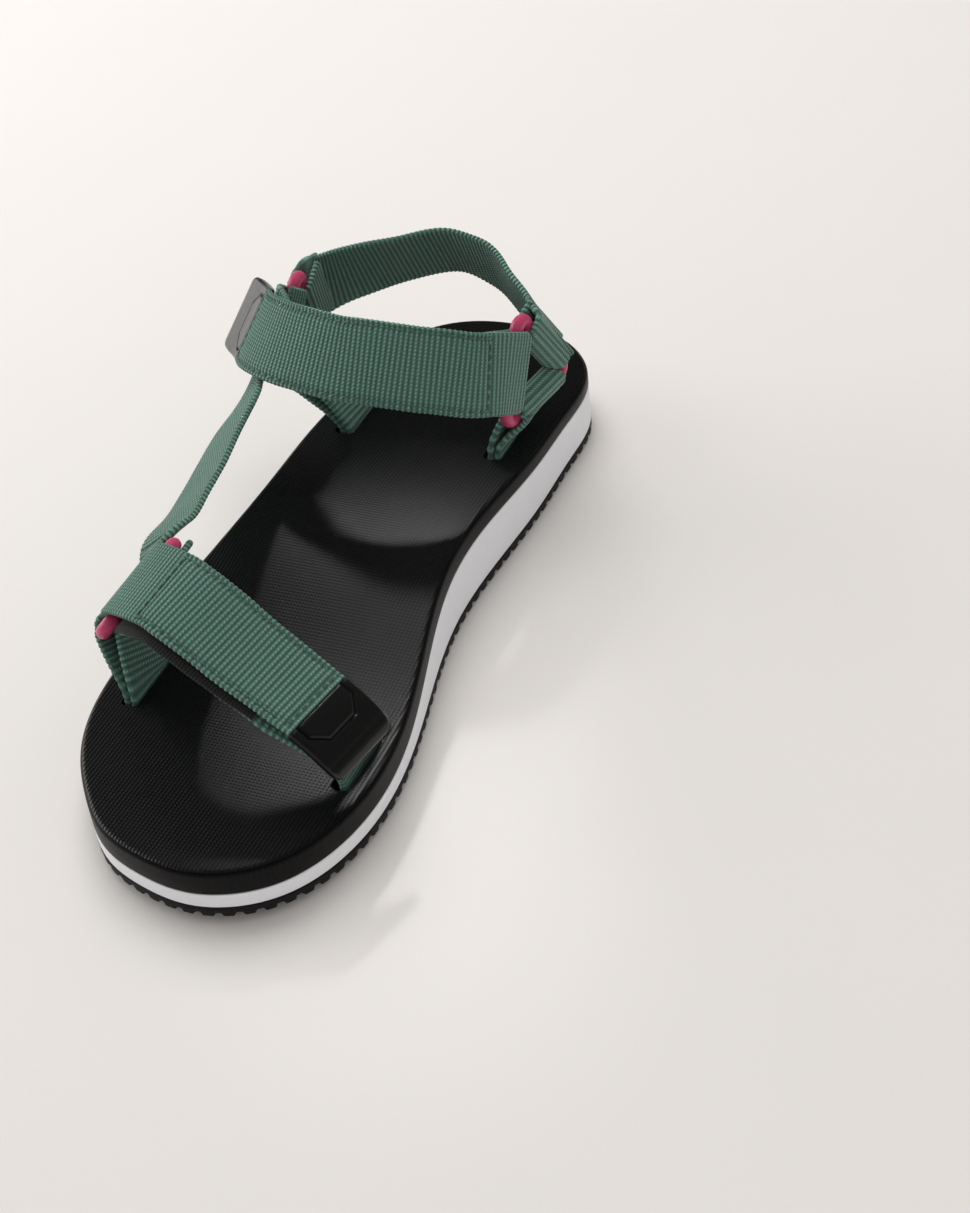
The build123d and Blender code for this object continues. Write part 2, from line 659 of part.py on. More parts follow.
build_anchor(RING_MEDIAL, SLOT_ANKLE_MEDIAL, "ankle_anchor_medial")
build_anchor(RING_LATERAL, SLOT_ANKLE_LATERAL, "ankle_anchor_lateral")
build_anchor(RING_FOREFOOT, SLOT_FORE_LATERAL, "forefoot_anchor_lateral")

build_ankle_strap()
build_forefoot_strap()
build_side_strap()

build_heel_strap_end(RING_MEDIAL, "heel_strap_end_medial")
build_heel_strap_end(RING_LATERAL, "heel_strap_end_lateral")
build_heel_strap()
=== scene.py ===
"""A sport sandal: three-layer sole, three plastic rings, green webbing straps and two pull tabs.

Shapes are laid out in the heel frame, in millimetres: x from the heel to the toe, +y the medial
side, z up from the ground. make() moves them to the row frame, in metres, with the middle of the
sole over the origin. Hook tapes, stitching and pull tabs ride on the two flaps; the flap webbing
and the heel strap are left unattached; everything else rides on the root.
"""
import math
from typing import NamedTuple

import bpy
import numpy as np
from mathutils import Matrix, Vector


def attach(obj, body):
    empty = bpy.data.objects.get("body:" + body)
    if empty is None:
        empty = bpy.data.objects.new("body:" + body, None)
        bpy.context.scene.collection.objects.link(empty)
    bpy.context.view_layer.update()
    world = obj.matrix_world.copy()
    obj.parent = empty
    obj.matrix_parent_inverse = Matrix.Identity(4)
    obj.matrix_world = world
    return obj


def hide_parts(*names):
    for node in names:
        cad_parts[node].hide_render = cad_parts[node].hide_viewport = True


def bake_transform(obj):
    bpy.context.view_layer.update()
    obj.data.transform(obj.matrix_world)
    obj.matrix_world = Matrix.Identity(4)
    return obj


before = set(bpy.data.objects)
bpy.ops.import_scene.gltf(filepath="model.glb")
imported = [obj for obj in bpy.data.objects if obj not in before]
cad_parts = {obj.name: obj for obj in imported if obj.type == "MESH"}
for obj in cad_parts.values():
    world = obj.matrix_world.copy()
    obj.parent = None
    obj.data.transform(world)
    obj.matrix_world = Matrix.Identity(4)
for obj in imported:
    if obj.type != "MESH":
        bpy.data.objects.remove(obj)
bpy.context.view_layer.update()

RNG = np.random.default_rng(7)

# ---------------------------------------------------------------- dimensions, mm, heel frame
SOLE_LENGTH, SOLE_MID_X, SOLE_MID_Y = 263.7, 127.25, -1.5
TIP_X = SOLE_MID_X + SOLE_LENGTH / 2
OUTSOLE_T = 3.74
TOE_SPRING, SPRING_START = 2.85, 180.0      # rise at the tip, x where the rise starts
EDGE_IN = 1.8                               # the outline's distance outside the cap grids

# layer thickness along the sole: (x, thickness)
MIDSOLE_T = [(0, 13.7), (36, 13.9), (75, 15.7), (114, 17.1), (140, 14.6), (166, 9.4), (190, 5.9),
             (215, 5.0), (262, 4.9)]
FOOTBED_T = [(0, 5.1), (48, 5.2), (110, 6.2), (160, 7.3), (206, 8.1), (262, 8.1)]

# sole outline (x, y): from the heel along the medial side to the toe and back
OUTLINE = [
    (-4.6, 1.9), (1.3, 21.5), (17.4, 35.0), (41.8, 36.9), (70.4, 36.5), (100.1, 34.1),
    (127.5, 33.4), (155.4, 37.5), (180.3, 42.8), (205.0, 45.7), (228.9, 43.2), (249.8, 32.1),
    (259.1, 13.0), (257.2, -3.7), (251.3, -17.7), (239.9, -29.6), (222.4, -41.5),
    (199.8, -48.1), (172.3, -47.5), (140.4, -41.7), (107.9, -39.0), (74.7, -40.2),
    (44.4, -39.6), (18.9, -36.8), (0.3, -21.6)]

WEB_T, TAPE_T, TOUCH, SLACK = 2.1, 1.2, 0.03, 0.03  # TOUCH, SLACK: gaps between stacked layers
STRAP_HALF, ANKLE_HALF, TAPE_HALF = 12.5, 13.0, 11.5
RIB = 1.6                                   # pitch of the cross ribs
SEAM_IN, SEAM_END = 1.9, 2.2                # seam's distance from a flap's sides and end
UV_MM = 100.0                               # millimetres per UV unit
STACK = WEB_T + 2 * TAPE_T + 4 * TOUCH + SLACK
# depth of each layer's middle below the middle of a flap
HOOK_D = -(WEB_T / 2 + TOUCH + TAPE_T / 2)
LOOP_D = HOOK_D - TAPE_T - TOUCH - SLACK
BASE_D = -STACK

BAR_R, BAR_GAP = 2.1, 0.12
WRAP_R = BAR_R + BAR_GAP + WEB_T / 2        # bar axis to the middle of wrapped webbing
CORNER_RUN = 5.2                            # length of a ring corner along each bar

# ring corners: front, apex, rear
RING_MEDIAL = [(70.8, 29.5, 37.7), (56.4, 30.3, 65.0), (40.5, 35.7, 39.0)]
RING_LATERAL = [(73.3, -49.4, 43.9), (54.6, -47.3, 68.6), (42.6, -50.8, 40.2)]
RING_FOREFOOT = [(197.5, -43.2, 38.3), (172.8, -31.0, 53.0), (170.5, -49.0, 29.0)]
TO_MEDIAL, TO_LATERAL, TO_LATERAL_UP = (0, 1, 0), (0, -1, 0), (0, -1, 0.5)

# slot centres in the footbed (x, y)
SLOT_ANKLE_MEDIAL, SLOT_ANKLE_LATERAL = (61.6, 24.4), (60.5, -28.2)
SLOT_FORE_LATERAL, SLOT_FORE_MEDIAL = (190.5, -36.5), (203.7, 37.5)
SLOT_LENGTH, SLOT_WIDTH, SLOT_CORNER_R = 27.2, 5.2, 2.0
SLOT_MOUTH, SLOT_SEAT = 0.5, 0.9            # webbing heights above footbed top and midsole top

# strap stations: centre x, y, z, then width direction x, y, z
ANKLE = [
    (72.6, 30.9, 56.3, -0.48, -0.02, 0.88),
    (80.8, 26.4, 60.4, -0.51, -0.04, 0.86),
    (86.8, 18.4, 64.1, -0.55, -0.03, 0.84),
    (90.7, 8.2, 66.4, -0.57, -0.02, 0.82),
    (92.7, -3.0, 67.8, -0.58, 0.0, 0.82),
    (93.3, -14.3, 68.1, -0.59, 0.04, 0.81),
    (91.5, -25.2, 67.9, -0.60, 0.10, 0.79),
    (88.0, -35.6, 66.7, -0.62, 0.16, 0.77),
    (82.8, -44.9, 64.6, -0.63, 0.22, 0.74),
    (76.8, -51.8, 61.8, -0.62, 0.26, 0.74),
    (70.0, -57.0, 58.8, -0.60, 0.29, 0.745)]
FOREFOOT = [
    (188.8, -35.3, 52.5, -0.82, 0.36, 0.45),
    (194.0, -27.1, 57.2, -0.86, 0.33, 0.39),
    (198.0, -17.8, 59.4, -0.88, 0.33, 0.33),
    (201.4, -8.1, 57.9, -0.90, 0.34, 0.28),
    (203.9, 1.4, 53.8, -0.92, 0.32, 0.22),
    (205.9, 11.0, 48.9, -0.95, 0.27, 0.16),
    (207.7, 20.7, 44.1, -0.97, 0.23, 0.10),
    (209.6, 30.6, 39.3, -0.98, 0.20, 0.05)]
HEEL = [
    (43.4, 34.6, 54.2, 0.48, -0.17, 0.86),
    (37.0, 28.0, 55.5, 0.42, -0.15, 0.90),
    (30.4, 18.9, 56.8, 0.33, -0.09, 0.94),
    (24.6, 12.7, 58.1, 0.32, -0.04, 0.95),
    (19.8, 6.2, 59.6, 0.35, -0.02, 0.94),
    (17.0, -1.4, 60.6, 0.40, -0.01, 0.91),
    (15.7, -9.4, 61.3, 0.45, -0.01, 0.89),
    (17.1, -17.6, 60.4, 0.48, -0.02, 0.88),
    (20.1, -25.7, 58.7, 0.48, -0.03, 0.87),
    (23.0, -33.9, 57.0, 0.43, -0.05, 0.90),
    (26.3, -41.7, 55.2, 0.37, -0.06, 0.93),
    (31.0, -48.3, 53.8, 0.34, -0.06, 0.94),
    (37.3, -51.9, 53.2, 0.35, -0.03, 0.935),
    (43.0, -52.5, 53.5, 0.38, 0.05, 0.92)]
# the side strap tapers, so its last column is the half width
SIDE = [
    (158.5, -43.2, 43.5, -0.04, 0.77, 0.62, 12.5),
    (146.2, -44.0, 43.6, -0.05, 0.75, 0.65, 12.5),
    (134.0, -45.0, 44.0, -0.05, 0.73, 0.68, 12.5),
    (122.0, -46.6, 44.8, -0.04, 0.71, 0.70, 12.5),
    (110.0, -48.2, 45.5, -0.03, 0.70, 0.71, 12.5),
    (98.5, -49.8, 45.8, -0.02, 0.68, 0.73, 12.3),
    (90.0, -51.8, 45.2, 0.0, 0.62, 0.78, 10.2),
    (82.0, -54.4, 43.8, 0.0, 0.50, 0.86, 7.4),
    (74.0, -56.5, 42.4, 0.0, 0.36, 0.93, 5.6),
    (64.0, -57.0, 41.2, 0.0, 0.30, 0.95, 5.2)]


# ---------------------------------------------------------------- curve helpers
def V(p):
    return np.array(p, float)


def unit(v):
    v = V(v)
    return v / np.linalg.norm(v)


def to_row(points):
    """Heel frame in millimetres to row frame in metres."""
    points = np.asarray(points, float).reshape(-1, 3)
    return (points - np.array([SOLE_MID_X, SOLE_MID_Y, 0.0])) / 1000.0


def smoothstep(x):
    x = np.clip(x, 0, 1)
    return x * x * (3 - 2 * x)


def path_length(points):
    """Distance from the first point to each point along the polyline."""
    return np.r_[0, np.cumsum(np.linalg.norm(np.diff(points, axis=0), axis=1))]


def spline_value(ys, bends, steps, at, i, j, start, end):
    """Cubic between knots i and j, from knot values and second derivatives."""
    h = steps[i]
    a = ((end - at) / h)[:, None]
    c = ((at - start) / h)[:, None]
    curve = (a ** 3 - a) * bends[i] + (c ** 3 - c) * bends[j]
    return a * ys[i] + c * ys[j] + curve * (h ** 2)[:, None] / 6


def cubic(xs, ys, at):
    """Natural cubic through rows of ys at xs, held flat outside them."""
    n = len(xs)
    h = np.diff(xs)
    system = np.zeros((n, n))
    rhs = np.zeros((n, ys.shape[1]))
    system[0, 0] = system[-1, -1] = 1
    for i in range(1, n - 1):
        system[i, i - 1:i + 2] = h[i - 1], 2 * (h[i - 1] + h[i]), h[i]
        rhs[i] = 6 * ((ys[i + 1] - ys[i]) / h[i] - (ys[i] - ys[i - 1]) / h[i - 1])
    bends = np.linalg.solve(system, rhs)
    at = np.clip(at, xs[0], xs[-1])
    i = np.clip(np.searchsorted(xs, at) - 1, 0, n - 2)
    return spline_value(ys, bends, h, at, i, i + 1, xs[i], xs[i + 1])


def closed_spline(points, count):
    """Periodic cubic through 2D points with chord parameters."""
    points = V(points)
    n = len(points)
    h = np.linalg.norm(np.roll(points, -1, axis=0) - points, axis=1)
    system = np.zeros((n, n))
    rhs = np.zeros((n, 2))
    for i in range(n):
        before, after, nxt = h[i - 1], h[i], (i + 1) % n
        system[i, i - 1] += before
        system[i, i] += 2 * (before + after)
        system[i, nxt] += after
        rhs[i] = 6 * ((points[nxt] - points[i]) / after - (points[i] - points[i - 1]) / before)
    bends = np.linalg.solve(system, rhs)
    knots = np.r_[0, np.cumsum(h)]
    at = np.linspace(0, knots[-1], count, endpoint=False)
    i = np.clip(np.searchsorted(knots, at, "right") - 1, 0, n - 1)
    return spline_value(points, bends, h, at, i, (i + 1) % n, knots[i], knots[i + 1])


def bezier(p0, p1, p2, p3, ts):
    return [((1 - t) ** 3) * p0 + 3 * ((1 - t) ** 2) * t * p1
            + 3 * (1 - t) * t * t * p2 + t ** 3 * p3 for t in ts]


# ---------------------------------------------------------------- bands
# A station is (centre, width direction, face normal, half width).
def strap_run(table, count, facing, toward, half, lead=(), lead_width=None):
    """Smooth stations through lead centres and a table. Normal number facing looks toward."""
    table = V(table)
    centres = V([*lead, *table[:, :3]])
    widths = V([*[lead_width] * len(lead), *table[:, 3:6]])
    knots = path_length(centres)
    at = np.linspace(0, knots[-1], count)
    centre = cubic(knots, centres, at)
    width = cubic(knots, widths, at)
    width /= np.linalg.norm(width, axis=1)[:, None]
    half = np.interp(at, knots, np.broadcast_to(half, len(knots)))
    along = np.gradient(centre, axis=0)
    along /= np.linalg.norm(along, axis=1)[:, None]
    normal = np.cross(along, width)
    normal /= np.linalg.norm(normal, axis=1)[:, None]
    if np.dot(normal[facing], toward) < 0:
        normal = -normal
    return list(zip(centre, width, normal, half))


class Ribbon:
    """A smooth band: dense stations resampled and blurred along its length."""

    def __init__(self, stations, blur=0.7):
        data = V([[*c, *w, *n, h] for c, w, n, h in stations])
        dist = path_length(data[:, :3])
        keep = np.r_[True, np.diff(dist) > 1e-6]
        data, dist = data[keep], dist[keep]
        count = max(10, int(round(dist[-1] / (RIB / 6))))
        at = np.linspace(0, dist[-1], count + 1)
        data = np.stack([np.interp(at, dist, column) for column in data.T], 1)

        sigma = blur / (at[1] - at[0])
        k = min(int(3 * sigma) + 1, count - 1)
        kernel = np.exp(-0.5 * (np.arange(-k, k + 1) / sigma) ** 2)
        kernel /= kernel.sum()
        # both ends are mirrored through the end station, so the blur keeps them in place
        padded = np.concatenate([2 * data[0] - data[k:0:-1], data,
                                 2 * data[-1] - data[-2:-k - 2:-1]])
        data = np.stack([np.convolve(column, kernel, "valid") for column in padded.T], 1)
        centre, width, facing = data[:, :3], data[:, 3:6], data[:, 6:9]

        along = np.gradient(centre, axis=0)
        along /= np.linalg.norm(along, axis=1)[:, None]
        width = width - along * (width * along).sum(1)[:, None]
        width /= np.linalg.norm(width, axis=1)[:, None]
        normal = np.cross(along, width)
        normal *= np.sign((normal * facing).sum(1))[:, None]
        self.centre, self.width, self.normal, self.along = centre, width, normal, along
        self.half = data[:, 9]
        self.measure()

    def measure(self):
        self.s = path_length(self.centre)
        self.length = self.s[-1]

    def at(self, s):
        """Centre, width direction, normal and tangent at distance s."""
        return [np.stack([np.interp(s, self.s, column) for column in field.T], -1)
                for field in (self.centre, self.width, self.normal, self.along)]

    def nearest(self, point):
        """Distance along the band of the station nearest a point."""
        return float(self.s[int(np.argmin(np.linalg.norm(self.centre - point, axis=1)))])

    def cut(self, start, end, shift, half, sideways=None):
        """Part of the band, moved along its normal and against its width direction."""
        k = (self.s >= start - 1e-9) & (self.s <= end + 1e-9)
        part = Ribbon.__new__(Ribbon)
        part.centre = self.centre[k] + self.normal[k] * shift
        if sideways is not None:
            part.centre -= self.width[k] * sideways(self.s[k], self.length)[:, None]
        part.width, part.normal, part.along = self.width[k], self.normal[k], self.along[k]
        part.half = np.full(k.sum(), half)
        part.measure()
        return part


# ---------------------------------------------------------------- ring geometry
class Bar(NamedTuple):
    """One bar of a ring."""
    mid: np.ndarray
    along: np.ndarray
    out: np.ndarray         # out of the triangle, in its plane
    face: np.ndarray        # ring normal, on the side asked for
    half: float             # half the bar's length

    def point(self, face, out=0.0):
        return self.mid + self.face * face + self.out * out


def ring_axes(ring):
    """Normal and centre of a ring."""
    front, apex, rear = [V(p) for p in ring]
    return unit(np.cross(apex - front, rear - front)), (front + apex + rear) / 3


def bar_of(ring, which, outward):
    front, apex, rear = [V(p) for p in ring]
    start, end = {"front": (front, apex), "rear": (rear, apex), "bottom": (rear, front)}[which]
    normal, centre = ring_axes(ring)
    if np.dot(normal, outward) < 0:
        normal = -normal
    mid = (start + end) / 2
    along = unit(end - start)
    out = unit(mid - centre)
    out = unit(out - along * np.dot(out, along))
    face = unit(np.cross(along, out))
    if np.dot(face, normal) <= 0:
        face = -face
    return Bar(mid, along, out, face, float(np.linalg.norm(end - start)) / 2)


def wrap_half(depth, full, bar_half):
    """Half width round a bar: depth is 0 beside the bar and 1 inside the triangle."""
    depth = max(0.0, depth)
    return min(full, bar_half - 2.55 - 2.2 * depth, bar_half - 0.3 - 6.5 * depth)


def wrap(bar, start, end, full=STRAP_HALF, steps=25):
    """Stations round a bar: 0 degrees is the tangent on the far face, 180 the near one."""
    stations = []
    for k in range(steps):
        turn = math.radians(start + (end - start) * k / (steps - 1))
        radial = -bar.face * math.cos(turn) - bar.out * math.sin(turn)
        stations.append((bar.mid + radial * WRAP_R, bar.along, radial,
                         wrap_half(math.sin(turn), full, bar.half)))
    return stations


# ---------------------------------------------------------------- mesh helpers
def make(name, verts_mm, faces, mat, uv=None, smooth=True, sharp_angle=None):
    """Mesh object from heel frame points, with its faces turned outward."""
    co = to_row(verts_mm)
    faces = [tuple(int(i) for i in f) for f in faces]
    fans = np.array([(f[0], f[i], f[i + 1]) for f in faces for i in range(1, len(f) - 1)])
    a, b, c = co[fans].transpose(1, 0, 2)
    if (a * np.cross(b, c)).sum() < 0:
        faces = [f[::-1] for f in faces]
    mesh = bpy.data.meshes.new(name)
    mesh.from_pydata([tuple(p) for p in co.tolist()], [], faces)
    if uv is not None:
        uv_layer = mesh.uv_layers.new(name="web")
        index = np.zeros(len(mesh.loops), int)
        mesh.loops.foreach_get("vertex_index", index)
        uv_layer.data.foreach_set("uv", np.asarray(uv, float)[index].ravel())
    mesh.polygons.foreach_set("use_smooth", np.full(len(mesh.polygons), smooth))
    mesh.validate()
    mesh.update()
    if sharp_angle:
        mesh.set_sharp_from_angle(angle=math.radians(sharp_angle))
    mesh.materials.append(mat)
    ob = bpy.data.objects.new(name, mesh)
    bpy.context.scene.collection.objects.link(ob)
    return ob


def tube_faces(rows, cols, closed=False):
    """Quads between rows of closed loops; capped, or joined end to end when closed."""
    row = np.arange(rows if closed else rows - 1)[:, None]
    i, i2 = row * cols, (row + 1) % rows * cols
    j = np.arange(cols)[None, :]
    j2 = (j + 1) % cols
    faces = np.stack([i + j, i + j2, i2 + j2, i2 + j], -1).reshape(-1, 4).tolist()
    if not closed:
        faces.append(list(range(cols))[::-1])
        faces.append([(rows - 1) * cols + k for k in range(cols)])
    return faces


EDGE_BITE = 0.28        # how far a rib groove cuts into the beaded edge
SEAM_DEPTH = 0.42


def web(name, band, mat, thickness=WEB_T, phase=0.0, rib_depth=0.30, seams=(), columns=42,
        fuzz=0.0, fade=None):
    """Woven band with cross ribs, beaded edges and seams that pull the surface in.

    A seam is (kind, position, low, high); fade is (distances, rib depth factors).
    """
    edge_r = thickness / 2 * 0.9
    across = np.linspace(-1, 1, columns + 1)
    arc = np.radians([67.5, 45, 22.5, 0, -22.5, -45, -67.5])
    bead, flat = np.ones(len(arc)), np.zeros(columns + 1)
    # section loop: share of the core width, offset of the rounded edge, height from -1 to 1
    core = np.concatenate([across, bead, across[::-1], -bead])
    edge = np.concatenate([flat, np.cos(arc) * edge_r, flat, -np.cos(arc[::-1]) * edge_r])
    height = np.concatenate([flat + 1, np.sin(arc), flat - 1, np.sin(arc[::-1])])

    s = band.s + phase
    groove = ((0.5 + 0.5 * np.cos(2 * np.pi * s / RIB)) ** 3)[:, None]
    depth = np.full(len(s), rib_depth)
    if fade is not None:
        depth = depth * np.interp(band.s, *fade)
    depth = depth[:, None]
    half = band.half[:, None]
    bite = 1 - EDGE_BITE * groove / edge_r * (depth / max(rib_depth, 1e-6))
    w = core[None, :] * (half - edge_r) + edge[None, :] * bite
    knots = np.arange(0, band.length + 8, 5.0)
    wobble = np.interp(band.s, knots, RNG.normal(0, 0.07, len(knots)))
    w = w + wobble[:, None] * np.abs(core)[None, :]
    z = height[None, :] * (thickness / 2 - depth * groove)
    for kind, at, low, high in seams:
        if kind == "across":
            pull = np.exp(-0.5 * ((band.s - at) / 0.55) ** 2)[:, None]
            pull = pull * ((w > low - 0.5) & (w < high + 0.5))
        else:
            within = (band.s > low - 0.5) & (band.s < high + 0.5)
            pull = np.exp(-0.5 * ((w - at) / 0.6) ** 2) * within[:, None]
        z = z - (height > 0.9)[None, :] * pull * SEAM_DEPTH
    if fuzz:
        rough = (np.abs(height) > 0.9)[None, :] * (np.abs(w) < half - 2.2)
        z = z + np.sign(height)[None, :] * RNG.normal(0, fuzz, z.shape) * rough
        z = np.clip(z, -thickness / 2, thickness / 2)
    points = (band.centre[:, None, :] + band.width[:, None, :] * w[..., None]
              + band.normal[:, None, :] * z[..., None])
    uv = np.stack([np.broadcast_to(s[:, None] / UV_MM, w.shape), w / UV_MM], -1).reshape(-1, 2)
    return make(name, points.reshape(-1, 3), tube_faces(*w.shape), mat, uv)


def tape(name, band, mat, columns, fuzz=0.0, thickness=TAPE_T):
    """Band without ribs."""
    return web(name, band, mat, thickness, rib_depth=0.0, columns=columns, fuzz=fuzz)


def put(ob, body, nodes):
    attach(ob, body)
    if nodes:
        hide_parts(*nodes)


def stitches(name, band, lines, body, node):
    """Raised threads that dip into the webbing at both ends, along lines laid out like seams."""
    length, pitch, radius = 2.1, 3.0, 0.23
    rings, sides = 7, 8
    points, faces = [], []
    for kind, at, low, high in lines:
        for k in range(int((high - low) // pitch)):
            q = low + pitch * (k + 0.5) + RNG.normal(0, 0.06)
            s, offset = (q, at) if kind == "along" else (at, q)
            centre, width, normal, tangent = band.at(s)
            run = tangent if kind == "along" else width
            side = np.cross(normal, run)
            first = len(points)
            for x in np.linspace(-1, 1, rings):
                dip = -0.30 + 0.32 * (1 - x * x) ** 0.6 if abs(x) < 1 else -0.42
                middle = (centre + width * offset + run * x * length / 2
                          + normal * (WEB_T / 2 + dip))
                r = radius * (1 - 0.35 * x * x)
                for a in np.linspace(0, 2 * math.pi, sides, endpoint=False):
                    points.append(middle + (side * math.cos(a) + normal * math.sin(a)) * r)
            faces += [[first + i for i in f] for f in tube_faces(rings, sides)]
    put(make(name, points, faces, THREAD), body, [node])


# ---------------------------------------------------------------- materials
class Shader:
    """A Principled material and short names for the nodes it is built from."""

    def __init__(self, name):
        self.material = bpy.data.materials.new(name)
        self.material.use_nodes = True
        self.tree = self.material.node_tree
        self.principled = self.tree.nodes["Principled BSDF"]

    def new(self, kind, **settings):
        node = self.tree.nodes.new(kind)
        for key, value in settings.items():
            setattr(node, key, value)
        return node

    def set(self, socket, value):
        if isinstance(value, bpy.types.NodeSocket):
            self.tree.links.new(value, socket)
        elif isinstance(value, tuple) and len(value) == 3 and socket.type == "RGBA":
            socket.default_value = (*value, 1)
        else:
            socket.default_value = value

    def math(self, op, a, b=0.0, c=0.0, clamp=False):
        node = self.new("ShaderNodeMath", operation=op, use_clamp=clamp)
        for k, value in enumerate((a, b, c)):
            self.set(node.inputs[k], value)
        return node.outputs[0]

    def times(self, a, b):
        return self.math("MULTIPLY", a, b)

    def plus(self, a, b):
        return self.math("ADD", a, b)

    def power(self, value, exponent):
        return self.math("POWER", value, exponent)

    def above(self, value, limit):
        """1 where value is over the limit, else 0."""
        return self.math("GREATER_THAN", value, limit)

    def ramp(self, value, gain, base):
        return self.math("MULTIPLY_ADD", value, gain, base)

    def mix(self, factor, a, b):
        node = self.new("ShaderNodeMix", data_type="RGBA")
        for k, value in ((0, factor), (6, a), (7, b)):
            self.set(node.inputs[k], value)
        return node.outputs[2]

    def split(self, vector):
        node = self.new("ShaderNodeSeparateXYZ")
        self.set(node.inputs[0], vector)
        return node.outputs

    def uv(self):
        """UV vector, then distance along and across the band in millimetres."""
        vector = self.new("ShaderNodeUVMap", uv_map="web").outputs[0]
        parts = self.split(vector)
        return vector, self.times(parts[0], UV_MM), self.times(parts[1], UV_MM)

    def position(self):
        """Object position in millimetres."""
        source = self.new("ShaderNodeTexCoord")
        node = self.new("ShaderNodeVectorMath", operation="SCALE")
        self.set(node.inputs[0], source.outputs["Object"])
        node.inputs["Scale"].default_value = 1000.0
        return node.outputs[0]

    def noise(self, vector, scale, detail=3.0, roughness=0.55):
        node = self.new("ShaderNodeTexNoise")
        self.set(node.inputs["Vector"], vector)
        node.inputs["Scale"].default_value = scale
        node.inputs["Detail"].default_value = detail
        node.inputs["Roughness"].default_value = roughness
        return node.outputs[0]

    def wave(self, x, pitch, phase=0.0):
        """Sine of x between 0 and 1."""
        angle = self.plus(self.times(x, 2 * math.pi / pitch), phase)
        return self.ramp(self.math("SINE", angle), gain=0.5, base=0.5)

    def bump(self, height_mm, strength=1.0):
        node = self.new("ShaderNodeBump")
        node.inputs["Strength"].default_value = strength
        node.inputs["Distance"].default_value = 0.001
        self.set(node.inputs["Height"], height_mm)
        self.set(self.principled.inputs["Normal"], node.outputs[0])

    def finish(self, **inputs):
        for key, value in inputs.items():
            self.set(self.principled.inputs[key.replace("_", " ")], value)
        return self.material


def tint(colour, factor):
    return tuple(c * factor for c in colour)


def webbing_material():
    top, low = (0.125, 0.262, 0.208), (0.004, 0.022, 0.015)     # rib crest, rib groove; the groove colour is painted shade
    bead_pitch, bead_slant = 1.15, 1.9
    g = Shader("green_webbing")
    vec, s, w = g.uv()
    crest = g.ramp(g.math("COSINE", g.times(s, 2 * math.pi / RIB)), gain=-0.5, base=0.5)
    # neighbouring ribs are half a bead out of step
    rib_index = g.math("FLOOR", g.ramp(s, gain=1 / RIB, base=0.0))
    parity = g.times(g.math("MODULO", rib_index, 2.0), math.pi)
    slant = g.ramp(s, gain=bead_slant, base=parity)
    angle = g.ramp(w, gain=2 * math.pi / bead_pitch, base=slant)
    bead = g.ramp(g.math("SINE", angle), gain=0.5, base=0.5)
    fine = g.noise(vec, scale=900.0, detail=2.0)
    broad = g.noise(vec, scale=9.0)
    # painted light and shade: the beads are lightened and the gaps between them darkened
    bead_gap_shade = g.times(g.power(bead, exponent=1.4), 0.85)
    crest_colour = g.mix(bead_gap_shade, tint(top, 1.34), tint(top, 0.40))
    # painted shade: the rib grooves take the dark groove colour
    colour = g.mix(g.power(crest, exponent=1.9), low, crest_colour)
    colour = g.mix(g.times(broad, 0.30), colour, tint(top, 0.72))
    # painted highlight: bright specks stand in for glints on the fibres
    glint_speck = g.power(g.noise(vec, scale=420.0, roughness=0.7), exponent=3.0)
    colour = g.mix(g.math("MULTIPLY", glint_speck, 1.0, clamp=True), colour, tint(top, 2.6))
    relief = g.times(g.plus(crest, 0.3), 0.20)
    g.bump(g.ramp(bead, gain=relief, base=g.times(fine, 0.08)))
    return g.finish(Base_Color=colour, Roughness=g.ramp(fine, gain=0.2, base=0.62),
                    Sheen_Weight=0.35, Sheen_Roughness=0.4, Specular_IOR_Level=0.3)


def thread_material():
    g = Shader("green_thread")
    x, y, z = g.split(g.position())
    twist = g.wave(g.plus(g.plus(x, y), z), pitch=0.45)
    g.bump(g.times(twist, 0.05), strength=0.8)
    return g.finish(Base_Color=g.mix(twist, (0.030, 0.080, 0.062), (0.070, 0.165, 0.130)),
                    Roughness=0.55, Sheen_Weight=0.3)


def ring_material():
    g = Shader("pink_plastic")
    vec = g.position()
    broad, fine = g.noise(vec, scale=0.5), g.noise(vec, scale=3.0, detail=4.0)
    g.bump(g.times(fine, 0.02), strength=0.6)
    return g.finish(Base_Color=g.mix(broad, (0.50, 0.035, 0.115), (0.62, 0.075, 0.19)),
                    Roughness=g.ramp(fine, gain=0.16, base=0.30),
                    Subsurface_Weight=0.12, Subsurface_Radius=(0.004, 0.002, 0.002),
                    Subsurface_Scale=0.3, Coat_Weight=0.15)


def footbed_material():
    texture_pitch = 1.15
    g = Shader("black_footbed")
    vec = g.position()
    x, y, _ = g.split(vec)
    normal = g.split(g.new("ShaderNodeNewGeometry").outputs["Normal"])
    up = g.above(normal[2], limit=0.80)     # the texture lies on the upper face only
    wave_x, wave_y = g.wave(x, texture_pitch), g.wave(y, texture_pitch)
    check = g.times(wave_x, wave_y)
    lines = g.power(wave_y, exponent=2.0)
    texture = g.plus(g.times(check, 0.13), g.times(lines, 0.07))
    fine = g.noise(vec, scale=2.2, detail=4.0)
    broad = g.noise(vec, scale=0.05)
    g.bump(g.ramp(fine, gain=0.05, base=g.times(texture, up)), strength=0.6)
    colour = g.mix(check, (0.0028, 0.0028, 0.003), (0.0060, 0.0058, 0.0062))
    colour = g.mix(g.times(broad, 0.4), colour, (0.0075, 0.0073, 0.0075))
    return g.finish(Base_Color=colour, Roughness=g.ramp(fine, gain=0.14, base=0.33),
                    Specular_IOR_Level=g.ramp(up, gain=0.30, base=0.10))


